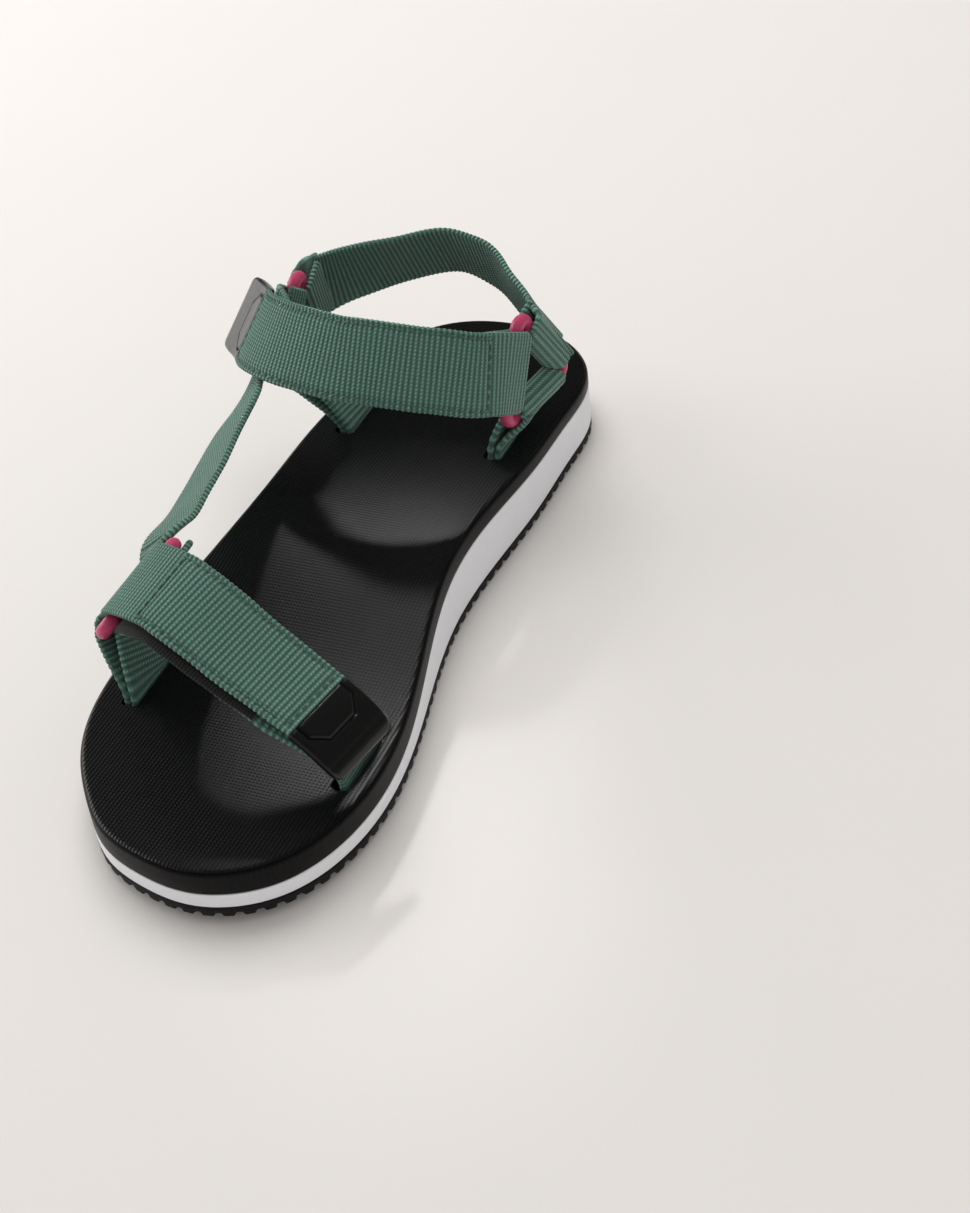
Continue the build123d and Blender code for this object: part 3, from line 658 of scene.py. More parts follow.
def midsole_material():
    g = Shader("grey_foam")
    vec = g.position()
    broad, fine = g.noise(vec, scale=0.08), g.noise(vec, scale=4.0, detail=4.0)
    g.bump(g.times(fine, 0.05), strength=0.6)
    return g.finish(Base_Color=g.mix(broad, (0.84, 0.84, 0.88), (0.90, 0.90, 0.93)),
                    Roughness=g.ramp(fine, gain=0.2, base=0.5), Subsurface_Weight=0.05,
                    Subsurface_Radius=(0.002, 0.002, 0.002), Subsurface_Scale=0.5)


def outsole_material():
    g = Shader("black_rubber")
    vec = g.position()
    broad, fine = g.noise(vec, scale=0.12), g.noise(vec, scale=3.5, detail=5.0)
    g.bump(g.times(fine, 0.09), strength=0.7)
    return g.finish(Base_Color=g.mix(broad, (0.004, 0.004, 0.0043), (0.009, 0.0087, 0.009)),
                    Roughness=g.ramp(fine, gain=0.25, base=0.5), Specular_IOR_Level=0.25)


def tab_material(name, gloss):
    g = Shader(name)
    vec = g.position()
    broad, fine = g.noise(vec, scale=0.2), g.noise(vec, scale=6.0, detail=4.0)
    g.bump(g.times(fine, 0.035), strength=0.7)
    colour = g.mix(broad, (0.0036, 0.0039, 0.0038), (0.0075, 0.0078, 0.0077))
    return g.finish(Base_Color=colour, Roughness=g.ramp(fine, gain=0.18, base=0.32),
                    Specular_IOR_Level=0.5 + 0.15 * gloss, Coat_Weight=0.5 * gloss,
                    Coat_Roughness=0.3)


def loop_material():
    margin_start = 10.4                     # ribbed margins lie beyond this, across the tape
    g = Shader("black_loop")
    vec, s, w = g.uv()
    broad = g.noise(vec, scale=130.0, detail=5.0, roughness=0.7)
    fine = g.noise(vec, scale=600.0, detail=4.0, roughness=0.7)
    margin = g.above(g.math("ABSOLUTE", w), margin_start)
    ribs = g.times(g.wave(s, pitch=1.0), margin)
    colour = g.mix(broad, (0.004, 0.004, 0.0043), (0.013, 0.013, 0.013))
    colour = g.mix(ribs, colour, (0.024, 0.0245, 0.024))
    g.bump(g.plus(g.times(fine, 0.35), g.times(ribs, 0.2)))
    return g.finish(Base_Color=colour, Roughness=0.9, Sheen_Weight=0.15, Sheen_Roughness=0.5,
                    Specular_IOR_Level=0.2)


def hook_material():
    hook_pitch = 1.3
    g = Shader("black_hook")
    vec, s, w = g.uv()
    hooks = g.times(g.wave(s, hook_pitch), g.wave(w, hook_pitch))
    grain = g.noise(vec, scale=300.0)
    g.bump(g.times(g.power(hooks, exponent=2.0), 0.4))
    colour = g.mix(g.times(hooks, grain), (0.007, 0.007, 0.0075), (0.03, 0.03, 0.03))
    return g.finish(Base_Color=colour, Roughness=0.6)


WEBBING = webbing_material()
THREAD = thread_material()
RING_PLASTIC = ring_material()
FOOTBED_FOAM = footbed_material()
MIDSOLE_FOAM = midsole_material()
RUBBER = outsole_material()
TAB = tab_material("black_tab", gloss=0.0)
LOOP_TAPE = loop_material()
HOOK_TAPE = hook_material()
TAB_SHINY = tab_material("black_tab_shiny", gloss=1.0)


# ---------------------------------------------------------------- sole heights
THICKNESS_X = np.linspace(-12.0, 270.0, 1400)


def thickness_curve(table):
    xs, values = V(table).T
    return cubic(xs, values[:, None], THICKNESS_X)[:, 0]


MIDSOLE_CURVE, FOOTBED_CURVE = thickness_curve(MIDSOLE_T), thickness_curve(FOOTBED_T)


def spring(x):
    """Height of the ground face: level, then rising to the toe."""
    t = np.maximum(0.0, (np.asarray(x, float) - SPRING_START) / (TIP_X - SPRING_START))
    return TOE_SPRING * t * t


def z_out(x):
    return OUTSOLE_T + spring(x)


def z_mid(x):
    return z_out(x) + np.interp(x, THICKNESS_X, MIDSOLE_CURVE)


def z_top(x):
    return z_mid(x) + np.interp(x, THICKNESS_X, FOOTBED_CURVE)


# ---------------------------------------------------------------- sole outline
def outward_normals(loop):
    """Outward normals of a closed loop that runs clockwise seen from above."""
    t = np.roll(loop, -1, axis=0) - np.roll(loop, 1, axis=0)
    t /= np.linalg.norm(t, axis=1)[:, None]
    return np.stack([-t[:, 1], t[:, 0]], 1)


def inset_sides():
    """Medial and lateral sides of the inset outline, both from heel to toe."""
    loop = closed_spline(OUTLINE, 3000)
    inset = loop - outward_normals(loop) * EDGE_IN
    n = len(inset)
    heel, toe = int(np.argmin(inset[:, 0])), int(np.argmax(inset[:, 0]))
    medial = inset[(heel + np.arange((toe - heel) % n + 1)) % n]
    lateral = inset[(toe + np.arange((heel - toe) % n + 1)) % n][::-1]
    return medial, lateral


MEDIAL_SIDE, LATERAL_SIDE = inset_sides()
GRID_X0, GRID_X1 = MEDIAL_SIDE[0, 0] + 0.02, MEDIAL_SIDE[-1, 0] - 0.02
NX = 560                                    # grid cells along the sole


def side_limits(x):
    """y of the medial and lateral sides."""
    return [np.interp(x, side[:, 0], side[:, 1]) for side in (MEDIAL_SIDE, LATERAL_SIDE)]


def sole_grid(ny):
    """Flat x and y of a grid that is denser towards its edges."""
    reach = GRID_X1 - GRID_X0
    x = (GRID_X0 + GRID_X1) / 2 - reach / 2 * np.cos(np.pi * np.arange(NX + 1) / NX)
    high, low = side_limits(x)
    u = np.linspace(0, 1, ny + 1)
    u = 0.5 - 0.5 * np.cos(np.pi * (0.12 + 0.76 * u)) / math.cos(0.12 * math.pi)
    y = low[:, None] + (high - low)[:, None] * u[None, :]
    return np.broadcast_to(x[:, None], y.shape).ravel(), y.ravel()


def rim_index(ny):
    """Grid indices round the edge: medial side, toe, lateral side, heel."""
    c = ny + 1
    medial = [i * c + ny for i in range(NX + 1)]
    toe = [NX * c + j for j in range(ny - 1, -1, -1)]
    lateral = [i * c for i in range(NX - 1, -1, -1)]
    return np.array(medial + toe + lateral + list(range(1, ny)))


def layer(name, mat, z_low, z_high, rings, ny):
    """Closed slab: lower cap, wall through rings of (outward offset, height), upper cap.

    Caps take z from functions of (x, y), rings from functions of (x, distance round the rim).
    A ring's offset is a number or a function of the distance round the rim.
    """
    x, y = sole_grid(ny)
    rim = rim_index(ny)
    rim_xy = np.stack([x[rim], y[rim]], 1)
    outward = outward_normals(rim_xy)
    for _ in range(4):
        outward = (np.roll(outward, 1, axis=0) + outward * 2 + np.roll(outward, -1, axis=0)) / 4
        outward /= np.linalg.norm(outward, axis=1)[:, None]
    arc = path_length(rim_xy)
    verts = [np.stack([x, y, z_low(x, y)], 1), np.stack([x, y, z_high(x, y)], 1)]
    loops = [rim]
    for k, (offset, height) in enumerate(rings):
        offset = offset(arc) if callable(offset) else np.full(len(rim), offset)
        px, py = (rim_xy + outward * offset[:, None]).T
        verts.append(np.stack([px, py, height(px, arc)], 1))
        loops.append(2 * len(x) + k * len(rim) + np.arange(len(rim)))
    loops.append(rim + len(x))

    c = ny + 1
    i = np.arange(NX)[:, None] * c
    j = np.arange(ny)[None, :]
    cap = np.stack([i + j, i + j + 1, i + c + j + 1, i + c + j], -1).reshape(-1, 4)
    faces = cap.tolist() + (cap[:, ::-1] + len(x)).tolist()
    for a, b in zip(loops[:-1], loops[1:]):
        faces += np.stack([a, b, np.roll(b, -1), np.roll(a, -1)], -1).tolist()
    return make(name, np.concatenate(verts), faces, mat, sharp_angle=50)


def cap(surface):
    return lambda x, y: surface(x)


def level(surface, shift):
    return lambda x, arc: surface(x) + shift


def between(lower, upper, share):
    return lambda x, arc: lower(x) + (upper(x) - lower(x)) * share


# ---------------------------------------------------------------- outsole
def tread(x, y):
    """Depth of the wavy cross grooves in the ground face; the margin stays plain."""
    wavelength, pitch, depth, margin = 12.5, 7.2, 1.45, 3.2
    waist = np.exp(-((x - 105) / 40.0) ** 2)
    swing = 2.3 + 1.2 * waist
    zigzag = np.abs(((y / wavelength + 0.25) % 1) - 0.5) * 4 - 1
    shifted = x + swing * np.sin(2 * np.pi * y / wavelength) + 0.6 * swing * waist * zigzag
    groove = smoothstep((0.5 + 0.5 * np.cos(2 * np.pi * shifted / pitch) - 0.52) / 0.3)
    high, low = side_limits(x)
    to_edge = np.minimum(np.minimum(high - y, y - low), np.minimum(x - GRID_X0, GRID_X1 - x))
    return depth * groove * np.clip(to_edge - margin, 0, 1)


def notch(arc):
    """Notches round the lower edge, 0 to 1."""
    return smoothstep((0.5 + 0.5 * np.cos(2 * np.pi * arc / 5.4) - 0.45) / 0.35)


def notched_offset(base):
    return lambda arc: base - 0.25 * notch(arc)


def notched_level(base, depth):
    return lambda x, arc: spring(x) + base + depth * notch(arc)


outsole = layer("outsole_rubber_sole", RUBBER, lambda x, y: spring(x) + tread(x, y), cap(z_out), [
    (0.9, notched_level(0.02, 0.95)),
    (notched_offset(1.45), notched_level(0.22, 1.0)),
    (notched_offset(1.72), notched_level(0.65, 0.85)),
    (1.76, level(spring, 1.95)),
    (1.78, level(z_out, -0.55)),
    (1.66, level(z_out, -0.18)),
    (1.30, level(z_out, -0.02))], ny=100)
put(outsole, "root", ["outsole"])

# ---------------------------------------------------------------- midsole
midsole = layer("midsole_foam_layer", MIDSOLE_FOAM, cap(z_out), cap(z_mid), [
    (1.30, level(z_out, 0.02)),
    (1.68, level(z_out, 0.2)),
    (1.78, level(z_out, 0.55)),
    (1.72, between(z_out, z_mid, 0.33)),
    (1.66, between(z_out, z_mid, 0.5)),
    (1.72, between(z_out, z_mid, 0.67)),
    (1.78, level(z_mid, -0.55)),
    (1.68, level(z_mid, -0.2)),
    (1.30, level(z_mid, -0.02))], ny=10)
put(midsole, "root", ["midsole"])


# ---------------------------------------------------------------- footbed
def slot_cutter():
    """Four round-cornered prisms, flared where they meet the footbed's top."""
    flare = [(-12.0, 0.0), (-0.9, 0.0), (-0.25, 0.22), (0.35, 0.75), (6.0, 0.75)]  # height, spread
    half_x, half_y, r = SLOT_LENGTH / 2, SLOT_WIDTH / 2, SLOT_CORNER_R
    loop = []
    for sign_x, sign_y, start in ((1, 1, 0), (-1, 1, 90), (-1, -1, 180), (1, -1, 270)):
        for k in range(7):
            a = math.radians(start + 15 * k)
            loop.append((sign_x * (half_x - r) + r * math.cos(a),
                         sign_y * (half_y - r) + r * math.sin(a)))
    points, faces = [], []
    for cx, cy in (SLOT_ANKLE_MEDIAL, SLOT_ANKLE_LATERAL, SLOT_FORE_LATERAL, SLOT_FORE_MEDIAL):
        first = len(points)
        top = float(z_top(cx))
        for dz, spread in flare:
            for dx, dy in loop:
                points.append((cx + dx * (1 + spread / half_x), cy + dy * (1 + spread / half_y),
                               top + dz))
        faces += [[first + i for i in f] for f in tube_faces(len(flare), len(loop))]
    return make("slot_cutter", points, faces, FOOTBED_FOAM, smooth=False)


def cut_slots(ob):
    cutter = slot_cutter()
    mod = ob.modifiers.new("slots", "BOOLEAN")
    mod.operation, mod.object, mod.solver = "DIFFERENCE", cutter, "EXACT"
    depsgraph = bpy.context.evaluated_depsgraph_get()
    mesh = bpy.data.meshes.new_from_object(ob.evaluated_get(depsgraph))
    ob.modifiers.clear()
    ob.data = mesh
    mesh.set_sharp_from_angle(angle=math.radians(50))
    bpy.data.objects.remove(cutter)


ROUNDED_EDGE = [(EDGE_IN * math.sin(a), level(z_top, -EDGE_IN * (1 - math.cos(a))))
                for a in np.radians([78, 64, 50, 36, 22, 10])]
footbed = layer("footbed_foam_layer", FOOTBED_FOAM, cap(z_mid), cap(z_top), [
    (1.30, level(z_mid, 0.02)),
    (1.68, level(z_mid, 0.2)),
    (EDGE_IN, level(z_mid, 0.5)),
    (EDGE_IN, between(z_mid, z_top, 0.45)),
    (EDGE_IN, level(z_top, -1.9)),
    *ROUNDED_EDGE], ny=56)
cut_slots(footbed)
put(footbed, "root", ["footbed"])


# ---------------------------------------------------------------- rings
def ring_mesh(name, ring, node):
    """Triangle of round bars with curved, slightly thicker corners."""
    corners = [V(p) for p in ring]
    normal, centre = ring_axes(ring)
    path, radius = [], []
    for i in range(3):
        before, corner, after = corners[i - 1], corners[i], corners[(i + 1) % 3]
        run_in, run_out = unit(corner - before), unit(after - corner)
        start, end = corner - run_in * CORNER_RUN, corner + run_out * CORNER_RUN
        bulge, spread = unit(corner - centre) * 1.3, unit(end - start) * 4.3
        ts = np.linspace(0, 1, 21)
        path += bezier(start, corner - spread + bulge, corner + spread + bulge, end, ts)
        radius += [BAR_R + 0.10 * math.sin(math.pi * t) for t in ts]
        next_start = after - run_out * CORNER_RUN
        for t in np.linspace(0, 1, 10)[1:-1]:
            path.append(end + (next_start - end) * t)
            radius.append(BAR_R)
    path, radius = V(path), V(radius)
    along = np.roll(path, -1, axis=0) - np.roll(path, 1, axis=0)
    along /= np.linalg.norm(along, axis=1)[:, None]
    side = np.cross(along, normal)
    sides = 28
    angle = np.linspace(0, 2 * math.pi, sides, endpoint=False)
    ridge = 1 + 0.035 * (np.abs(np.sin(angle)) < 0.12)      # in the plane of the ring
    radial = (side[:, None, :] * np.cos(angle)[None, :, None]
              + normal[None, None, :] * np.sin(angle)[None, :, None])
    points = path[:, None, :] + radial * radius[:, None, None] * ridge[None, :, None]
    faces = tube_faces(len(path), sides, closed=True)
    put(make(name, points.reshape(-1, 3), faces, RING_PLASTIC), "root", [node])


ring_mesh("ankle_ring_medial_moulding", RING_MEDIAL, "ankle_ring_medial")
ring_mesh("ankle_ring_lateral_moulding", RING_LATERAL, "ankle_ring_lateral")
ring_mesh("forefoot_ring_moulding", RING_FOREFOOT, "forefoot_ring")


# ---------------------------------------------------------------- anchors
def anchor(name, ring, outward, slot, node):
    """Webbing from a footbed slot up round a ring's bottom bar and back down."""
    bar = bar_of(ring, "bottom", outward)
    narrow = min(STRAP_HALF, bar.half - 2.3)
    cx, cy = slot
    top = float(z_top(cx))
    mouth, seat = top + SLOT_MOUTH, float(z_mid(cx)) + SLOT_SEAT
    sign = -1.0 if cy > 0 else 1.0          # towards the middle of the sole
    up = unit(bar.mid - V((cx, cy, top)))
    up = unit(up - bar.along * np.dot(up, bar.along))
    face = unit(np.cross(bar.along, up)) * sign
    lift = WEB_T / 2 + 0.14                 # half the distance between the two legs
    toe, inward, rise = V((1, 0, 0)), V((0, sign, 0)), V((0, 0, 4.0))
    ts = np.linspace(0, 1, 14)[1:-1]

    path = [(V((cx, cy + sign * lift, z)), toe, inward, STRAP_HALF) for z in (seat, mouth)]
    start, end = path[-1][0], bar.mid - face * WRAP_R
    for t, centre in zip(ts, bezier(start, start + rise, end - up * 4.0, end, ts)):
        path.append((centre, unit(toe * (1 - t) + bar.along * t),
                     unit(inward * (1 - t) - face * t), STRAP_HALF + (narrow - STRAP_HALF) * t))
    for k in range(25):
        turn = math.pi * k / 24
        radial = -face * math.cos(turn) + up * math.sin(turn)
        depth = -float(np.dot(radial, bar.out))
        path.append((bar.mid + radial * WRAP_R, bar.along, radial,
                     wrap_half(depth, narrow, bar.half)))
    start, end = bar.mid + face * WRAP_R, V((cx, cy - sign * lift, mouth))
    for t, centre in zip(ts, bezier(start, start - up * 4.0, end + rise, end, ts)):
        path.append((centre, unit(bar.along * (1 - t) + toe * t),
                     unit(face * (1 - t) - inward * t), narrow + (STRAP_HALF - narrow) * t))
    path += [(V((cx, cy - sign * lift, z)), toe, -inward, STRAP_HALF) for z in (mouth, seat)]
    put(web(name, Ribbon(path), WEBBING), "root", [node])


anchor("ankle_anchor_medial_webbing", RING_MEDIAL, TO_MEDIAL, SLOT_ANKLE_MEDIAL,
       "ankle_anchor_medial")
anchor("ankle_anchor_lateral_webbing", RING_LATERAL, TO_LATERAL, SLOT_ANKLE_LATERAL,
       "ankle_anchor_lateral")
anchor("forefoot_anchor_webbing", RING_FOREFOOT, TO_LATERAL_UP, SLOT_FORE_LATERAL,
       "forefoot_anchor_lateral")


# ---------------------------------------------------------------- pull tabs
def pull_tab(name, band, full, body, node, curl, mat):
    """Moulded grip past the webbing's end, with a grooved pad and a turned-down lip."""
    lip_start, lip_curl = 13.5, 0.055
    pad_length, pad_half, pad_corner_sum = 8.8, 9.6, 14.2
    centre, width, normal, tangent = band.at(band.length)
    s = np.concatenate([[0.12, 0.3], np.linspace(0.6, 18.2, 60), [18.5, 18.75, 18.9, 19.0]])
    centres, normals = [], []
    previous = 0.0
    for end in s:
        step = end - previous
        angle = -(curl + (lip_curl if end > lip_start else 0.0)) * step
        turned = unit(tangent * math.cos(angle) + normal * math.sin(angle))
        normal = unit(normal * math.cos(angle) - tangent * math.sin(angle))
        centre = centre + (tangent + turned) / 2 * step
        tangent = turned
        centres.append(centre)
        normals.append(normal)
        previous = end
    centres, normals = V(centres)[:, None, :], V(normals)[:, None, :]

    half = full * np.interp(s, [0, 8, 13, 15.5, 17.2, 18.3, 19.0],
                            [1.0, 1.0, 0.995, 0.98, 0.945, 0.89, 0.82])[:, None]
    w = half * np.linspace(-1, 1, 85)[None, :]
    x, y = np.broadcast_to(s[:, None], w.shape), np.abs(w)
    # groove round the pad: half its outline, as segments in (x, y)
    corners = [(0.0, pad_half), (4.6, pad_half), (pad_length, 5.4), (pad_length, 0.0)]
    dist = np.full(w.shape, 99.0)
    for (ax, ay), (bx, by) in zip(corners[:-1], corners[1:]):
        vx, vy = bx - ax, by - ay
        t = np.clip(((x - ax) * vx + (y - ay) * vy) / (vx * vx + vy * vy), 0, 1)
        dist = np.minimum(dist, np.hypot(x - ax - vx * t, y - ay - vy * t))
    on_pad = (x < pad_length) & (y < pad_half) & (x + y < pad_corner_sum)
    top = np.interp(x, [0.12, 0.5, 1.2, 13.5, 16.5, 18.3, 19.0],
                    [0.35, 0.85, 1.0, 1.05, 0.85, 0.45, -0.15])
    top += np.where(on_pad, 0.28, 0.0) * np.clip(dist / 0.9, 0, 1)
    top -= 0.62 * np.exp(-(dist / 0.36) ** 2)
    top -= 0.75 * np.clip((y - half + 1.1) / 1.1, 0, 1) ** 2
    top -= np.exp(-((x - 14.3) / 0.9) ** 2) * 0.16      # crease before the lip
    bottom = -np.interp(x, [0.12, 2, 13, 17, 19], [1.9, 2.25, 2.15, 1.9, 1.15])
    bottom += 0.7 * np.clip((y - half + 1.0) / 1.0, 0, 1) ** 2

    def surface(across, height):
        return centres + width * across[..., None] + normals * height[..., None]

    points = np.concatenate([
        surface(w, top),
        surface(half + 0.02, (top[:, -1:] + bottom[:, -1:]) / 2),
        surface(w, bottom)[:, ::-1],
        surface(-half - 0.02, (top[:, :1] + bottom[:, :1]) / 2)], 1)
    faces = tube_faces(*points.shape[:2])
    put(make(name, points.reshape(-1, 3), faces, mat, sharp_angle=60), body, [node])
    # tongue under the end of the webbing
    under = band.cut(band.length - 9.0, band.length, HOOK_D, full - 1.0)
    tongue = tape(name + "_tongue", under, TAB, columns=16, thickness=TAPE_T - 0.05)
    put(tongue, body, [])


# ---------------------------------------------------------------- parts shared by both flaps
BEND_S, BEND_GAP = 5.0, 2.0     # bend line along the flap, half length of the blend


def flap_band(bar, table, half, count, facing, toward, lead):
    stations = strap_run(table, count, facing, toward, half, lead, bar.along)
    centre, width, _, half = stations[0]
    stations[0] = (centre, width, bar.face, half)
    return Ribbon(stations)


def box_lines(flap, half, start, overrun, stop):
    """Two lines across the flap and one along each side."""
    side = half - SEAM_IN
    return [("across", start, -side - overrun, side + overrun),
            ("across", flap.length - SEAM_END, -side - overrun, side + overrun),
            ("along", side, start, stop),
            ("along", -side, start, stop)]


def flap_webbing(prefix, bar, flap, half, seam_start, fold_rib_depth, **details):
    """The flap and its fold round the bar."""
    seams = box_lines(flap, half, seam_start, 1, flap.length)
    ob = web(f"{prefix}_strap_flap_webbing", flap, WEBBING, seams=seams, **details)
    centre, _, _, tangent = flap.at(BEND_S)
    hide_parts(f"{prefix}_strap_flap")
    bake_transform(ob)
    fold = Ribbon(wrap(bar, 0, 180, half, steps=41), blur=0.25)
    put(web(f"{prefix}_strap_fold_webbing", fold, WEBBING, phase=-fold.length,
            rib_depth=fold_rib_depth), "root", [])


def flap_tapes(prefix, hook, loop):
    """Hook tape on the flap and loop tape on the webbing under it."""
    put(tape(f"{prefix}_hook_tape_band", hook, HOOK_TAPE, columns=24),
        f"{prefix}_flap", [f"{prefix}_hook_tape"])
    put(tape(f"{prefix}_loop_tape_band", loop, LOOP_TAPE, columns=40, fuzz=0.05),
        "root", [f"{prefix}_loop_tape"])


def flap_trim(prefix, flap, half, seam_start, curl, mat):
    lines = box_lines(flap, half, seam_start, 0, flap.length - SEAM_END)
    stitches(f"{prefix}_flap_thread", flap, lines, f"{prefix}_flap", f"{prefix}_flap_stitching")
    pull_tab(f"{prefix}_pull_tab_grip", flap, half, f"{prefix}_flap", f"{prefix}_pull_tab",
             curl, mat)


def base_start(bar, flap, end, closing, half, sideways=None):
    """Base webbing stations from the bar and under the flap, which it nears over closing."""
    path = [(bar.point(-WRAP_R, out), bar.along, bar.face, STRAP_HALF) for out in (0.0, 1.5)]
    s = np.arange(7.0, end, 2.0)
    centre, width, normal, _ = flap.at(s)
    extra = (2 * WRAP_R - STACK) * smoothstep(1.0 - (s - 4.0) / closing)
    centre = centre + normal * (BASE_D - extra)[:, None]
    if sideways is not None:
        centre = centre - width * sideways(s, flap.length)[:, None]
    return path + [(c, w, n, half) for c, w, n in zip(centre, width, normal)]


# ---------------------------------------------------------------- ankle strap
def ankle_strap():
    seam_start = 17.0
    bar = bar_of(RING_MEDIAL, "front", TO_MEDIAL)
    far_bar = bar_of(RING_LATERAL, "front", TO_LATERAL)
    flap = flap_band(bar, ANKLE, ANKLE_HALF, count=90, facing=45, toward=(1, 0, 0.5),
                     lead=[bar.point(WRAP_R), bar.point(WRAP_R, 3.5)])
    flap_webbing("ankle", bar, flap, ANKLE_HALF, seam_start, fold_rib_depth=0.12, columns=44,
                 fade=([0, 9, 13, 200], [0.35, 0.5, 1, 1]))
    s_far = flap.nearest(far_bar.mid)
    flap_tapes("ankle", flap.cut(19.0, flap.length - 10.5, HOOK_D, TAPE_HALF),
               flap.cut(24.0, s_far - 17.0, LOOP_D, TAPE_HALF))

    path = base_start(bar, flap, s_far - 14.0, closing=18.0, half=STRAP_HALF)
    last, last_width, last_normal, _ = path[-1]
    end = far_bar.point(WRAP_R)
    before_end = far_bar.point(WRAP_R, 5.0)
    path += [((last + before_end) / 2 - far_bar.face * 0.1, unit(last_width + far_bar.along),
              unit(last_normal + far_bar.face), STRAP_HALF),
             (before_end, far_bar.along, far_bar.face, STRAP_HALF),
             (end, far_bar.along, far_bar.face, STRAP_HALF)]
    path += wrap(far_bar, 180, 0)[1:]
    path += [(far_bar.point(-(WRAP_R - gap), out), far_bar.along, -far_bar.face, STRAP_HALF)
             for out, gap in ((4.0, 0.35), (9.0, 1.0))]
    put(web("ankle_strap_base_webbing", Ribbon(path), WEBBING), "root", ["ankle_strap_base"])
    flap_trim("ankle", flap, ANKLE_HALF, seam_start, curl=-0.024, mat=TAB_SHINY)


ankle_strap()


# ---------------------------------------------------------------- forefoot strap
def drift(s, length):
    """The lower layers of the forefoot strap lie a little further towards the toe."""
    fall = np.clip((s - 15.0) / (length - 27.0), 0, 1)
    return 3.4 * smoothstep((s - 6.0) / 9.0) * (1 - 0.65 * fall)


def into_slot(path, slot):
    """Carry the base webbing on from its last station down into a slot."""
    cx, cy = slot
    start, start_width = path[-1][:2]
    end = V((cx, cy, float(z_top(cx)) + SLOT_MOUTH))
    to_heel = V((-1, 0, 0))
    p = [start, start + unit(start - path[-2][0]) * 8.0, end + V((0, 0, 9.0)), end]
    ts = np.linspace(0, 1, 14)[1:]
    for t, centre in zip(ts, bezier(*p, ts)):
        tangent = (3 * ((1 - t) ** 2) * (p[1] - p[0]) + 6 * (1 - t) * t * (p[2] - p[1])
                   + 3 * t * t * (p[3] - p[2]))
        width = unit(start_width * (1 - t) + to_heel * t)
        normal = unit(np.cross(unit(tangent), width))
        if np.dot(normal, (0, 1, 0.3)) < 0:
            normal = -normal
        path.append((centre, width, normal, STRAP_HALF))
    path.append((V((cx, cy, float(z_mid(cx)) + SLOT_SEAT)), to_heel, V((0, 1, 0)), STRAP_HALF))


def forefoot_strap():
    seam_start = 27.0
    bar = bar_of(RING_FOREFOOT, "front", TO_LATERAL_UP)
    flap = flap_band(bar, FOREFOOT, STRAP_HALF, count=70, facing=30, toward=(0, 0, 1),
                     lead=[bar.point(WRAP_R)])
    flap_webbing("forefoot", bar, flap, STRAP_HALF, seam_start, fold_rib_depth=0.25)
    flap_tapes("forefoot", flap.cut(28.5, flap.length - 10.5, HOOK_D, TAPE_HALF),
               flap.cut(17.0, flap.length - 11.0, LOOP_D, 12.6, drift))
    flap_trim("forefoot", flap, STRAP_HALF, seam_start, curl=0.022, mat=TAB)
    path = base_start(bar, flap, flap.length - 12.0, closing=16.0, half=12.0, sideways=drift)
    into_slot(path, SLOT_FORE_MEDIAL)
    put(web("forefoot_strap_base_webbing", Ribbon(path), WEBBING), "root",
        ["forefoot_strap_base"])


forefoot_strap()


# ---------------------------------------------------------------- side strap
def side_strap():
    """Strap from the forefoot ring's rear bar back along the lateral side."""
    bar = bar_of(RING_FOREFOOT, "rear", TO_LATERAL_UP)
    path = [(bar.point(-(WRAP_R - 0.5), 8.0), bar.along, -bar.face, 11.6),
            (bar.point(-(WRAP_R - 0.2), 4.0), bar.along, -bar.face, 12.0)]
    path += wrap(bar, 0, 180)
    run = strap_run(SIDE, count=60, facing=25, toward=(0, -1, 0.5),
                    half=[STRAP_HALF] * 2 + [row[6] for row in SIDE],
                    lead=[path[-1][0], bar.point(WRAP_R, 4.0)], lead_width=bar.along)
    band = Ribbon(path + run[1:])
    run_start = band.nearest(run[0][0])
    rows = [run_start + 8.0, run_start + 12.0]
    put(web("side_strap_webbing", band, WEBBING, seams=[("across", s, -11, 11) for s in rows]),
        "root", ["side_strap"])
    stitches("side_strap_thread", band, [("across", s, -9.5, 9.5) for s in rows], "root",
             "side_strap_stitching")


side_strap()


def heel_end(ring, outward):
    bar = bar_of(ring, "rear", outward)
    return [(bar.point(-(WRAP_R - 0.95), 9.5), bar.along, -bar.face, 12.3),
            (bar.point(-(WRAP_R - 0.25), 3.5), bar.along, -bar.face, STRAP_HALF),
            *wrap(bar, 0, 180),
            (bar.point(WRAP_R, 4.5), bar.along, bar.face, STRAP_HALF)]


def heel_strap():
    run = strap_run(HEEL, count=60, facing=30, toward=(-1, 0, 0), half=STRAP_HALF)
    dist = path_length(V([station[0] for station in run]))
    middle = [station for station, s in zip(run, dist) if 5.5 < s < dist[-1] - 5.0]
    band = Ribbon(heel_end(RING_MEDIAL, TO_MEDIAL) + middle
                  + heel_end(RING_LATERAL, TO_LATERAL)[::-1])
    ob = web("heel_strap_webbing", band, WEBBING)
    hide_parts("heel_strap", "heel_strap_end_medial", "heel_strap_end_lateral")
    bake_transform(ob)


heel_strap()


# ---------------------------------------------------------------- studio, metres
def floor_material():
    g = Shader("pale_floor")
    cloud = g.noise(g.position(), scale=0.02, detail=4.0)
    return g.finish(Base_Color=g.mix(cloud, (0.85, 0.825, 0.80), (0.87, 0.84, 0.815)),
                    Roughness=0.9, Specular_IOR_Level=0.1)


def add_floor():
    mesh = bpy.data.meshes.new("floor")
    mesh.from_pydata([(-4, -4, 0), (4, -4, 0), (4, 4, 0), (-4, 4, 0)], [], [(0, 1, 2, 3)])
    ob = bpy.data.objects.new("floor", mesh)
    ob.location = (0, 0, -0.00005)          # just below the sole
    bpy.context.scene.collection.objects.link(ob)
    mesh.materials.append(floor_material())


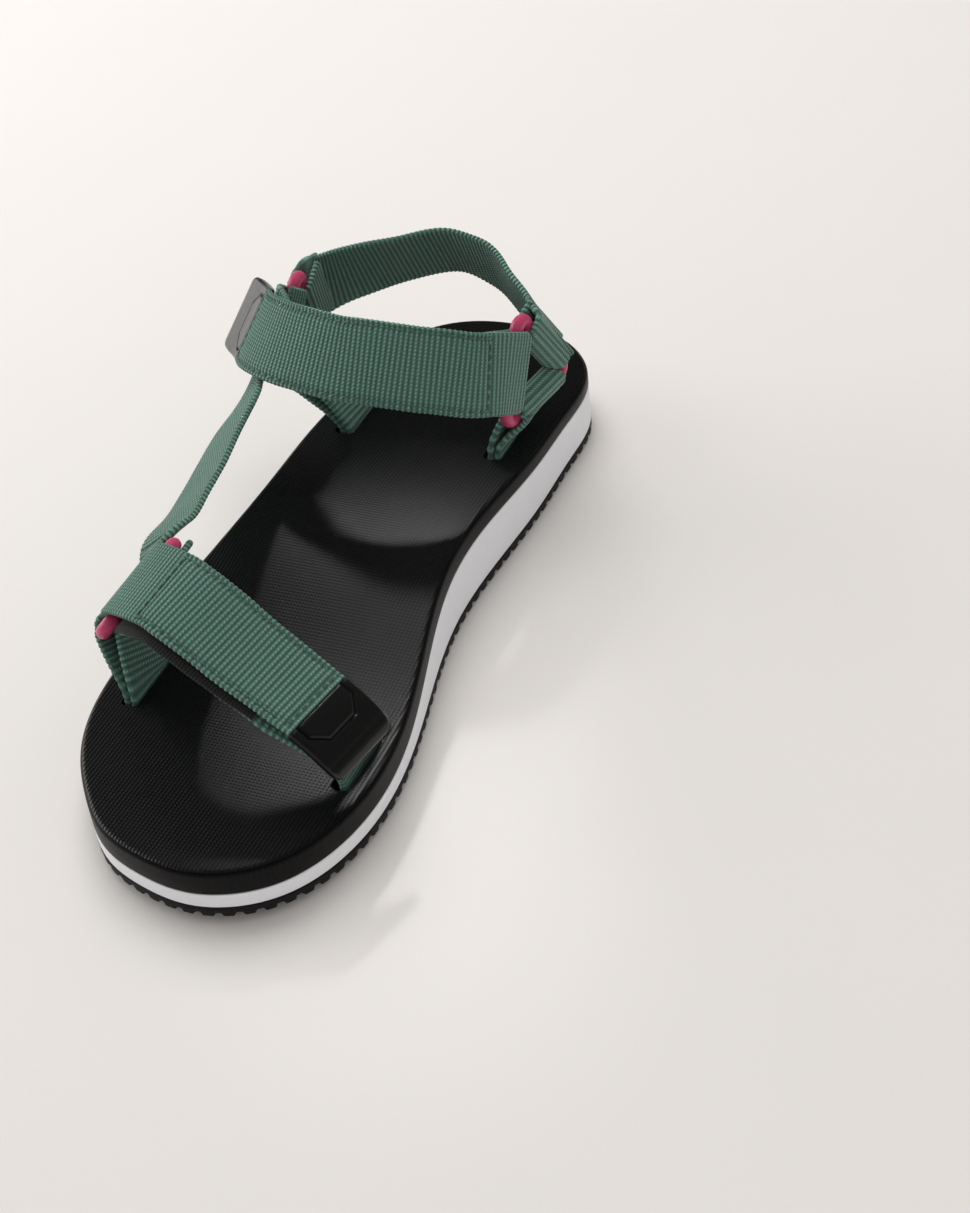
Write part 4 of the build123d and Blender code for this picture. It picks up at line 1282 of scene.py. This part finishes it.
def add_world():
    """Even warm light that is much weaker in reflections."""
    world = bpy.data.worlds.new("studio")
    bpy.context.scene.world = world
    world.use_nodes = True
    tree = world.node_tree
    background = tree.nodes["Background"]
    background.inputs["Color"].default_value = (1.0, 0.985, 0.97, 1)
    light_path = tree.nodes.new("ShaderNodeLightPath")
    strength = tree.nodes.new("ShaderNodeMapRange")
    tree.links.new(light_path.outputs["Is Glossy Ray"], strength.inputs["Value"])
    strength.inputs["To Min"].default_value = 0.50
    strength.inputs["To Max"].default_value = 0.06
    tree.links.new(strength.outputs[0], background.inputs["Strength"])


def area(name, location, target, size, power, color=(1, 1, 1)):
    light = bpy.data.lights.new(name, "AREA")
    light.shape = "RECTANGLE"
    light.size, light.size_y = size
    light.energy, light.color = power, color
    ob = bpy.data.objects.new(name, light)
    ob.location = location
    ob.rotation_mode = "QUATERNION"
    ob.rotation_quaternion = (Vector(target) - Vector(location)).to_track_quat("-Z", "Y")
    bpy.context.scene.collection.objects.link(ob)
    return ob


def add_lights():
    top = area("softbox_top", location=(-0.60, -0.42, 1.35), target=(0, 0, 0),
               size=(1.2, 1.2), power=11.2, color=(1, 0.985, 0.965))
    top.visible_glossy = False
    grid = area("softbox_grid", location=(-0.438, -0.246, 0.47), target=(0.046, 0.040, 0.025),
                size=(0.08, 0.08), power=0.0066)
    grid.data.spread = math.radians(7.0)
    area("softbox_left", location=(-0.05, -1.15, 0.40), target=(0, 0, 0.06),
         size=(1.0, 0.6), power=5.4)
    front = area("softbox_front", location=(0.9, 0.9, 0.7), target=(0, 0, 0.03),
                 size=(1.0, 0.7), power=1.0)
    front.visible_glossy = False


def add_camera():
    right = (-0.38117, 0.91948, -0.09625)
    up = (-0.6179, -0.17593, 0.76632)
    back = (0.68768, 0.35157, 0.63521)      # from the sandal towards the camera
    data = bpy.data.cameras.new("camera")
    data.sensor_width = 36.0
    data.lens = 64.471756
    data.clip_start, data.clip_end = 0.01, 20
    ob = bpy.data.objects.new("camera", data)
    bpy.context.scene.collection.objects.link(ob)
    bpy.context.scene.camera = ob
    pose = Matrix((right, up, back)).transposed().to_4x4()
    pose.translation = Vector((0.44811, 0.27279, 0.42424))
    ob.matrix_world = pose


add_floor()
add_world()
add_lights()
bpy.context.scene.view_settings.view_transform = "Standard"
add_camera()
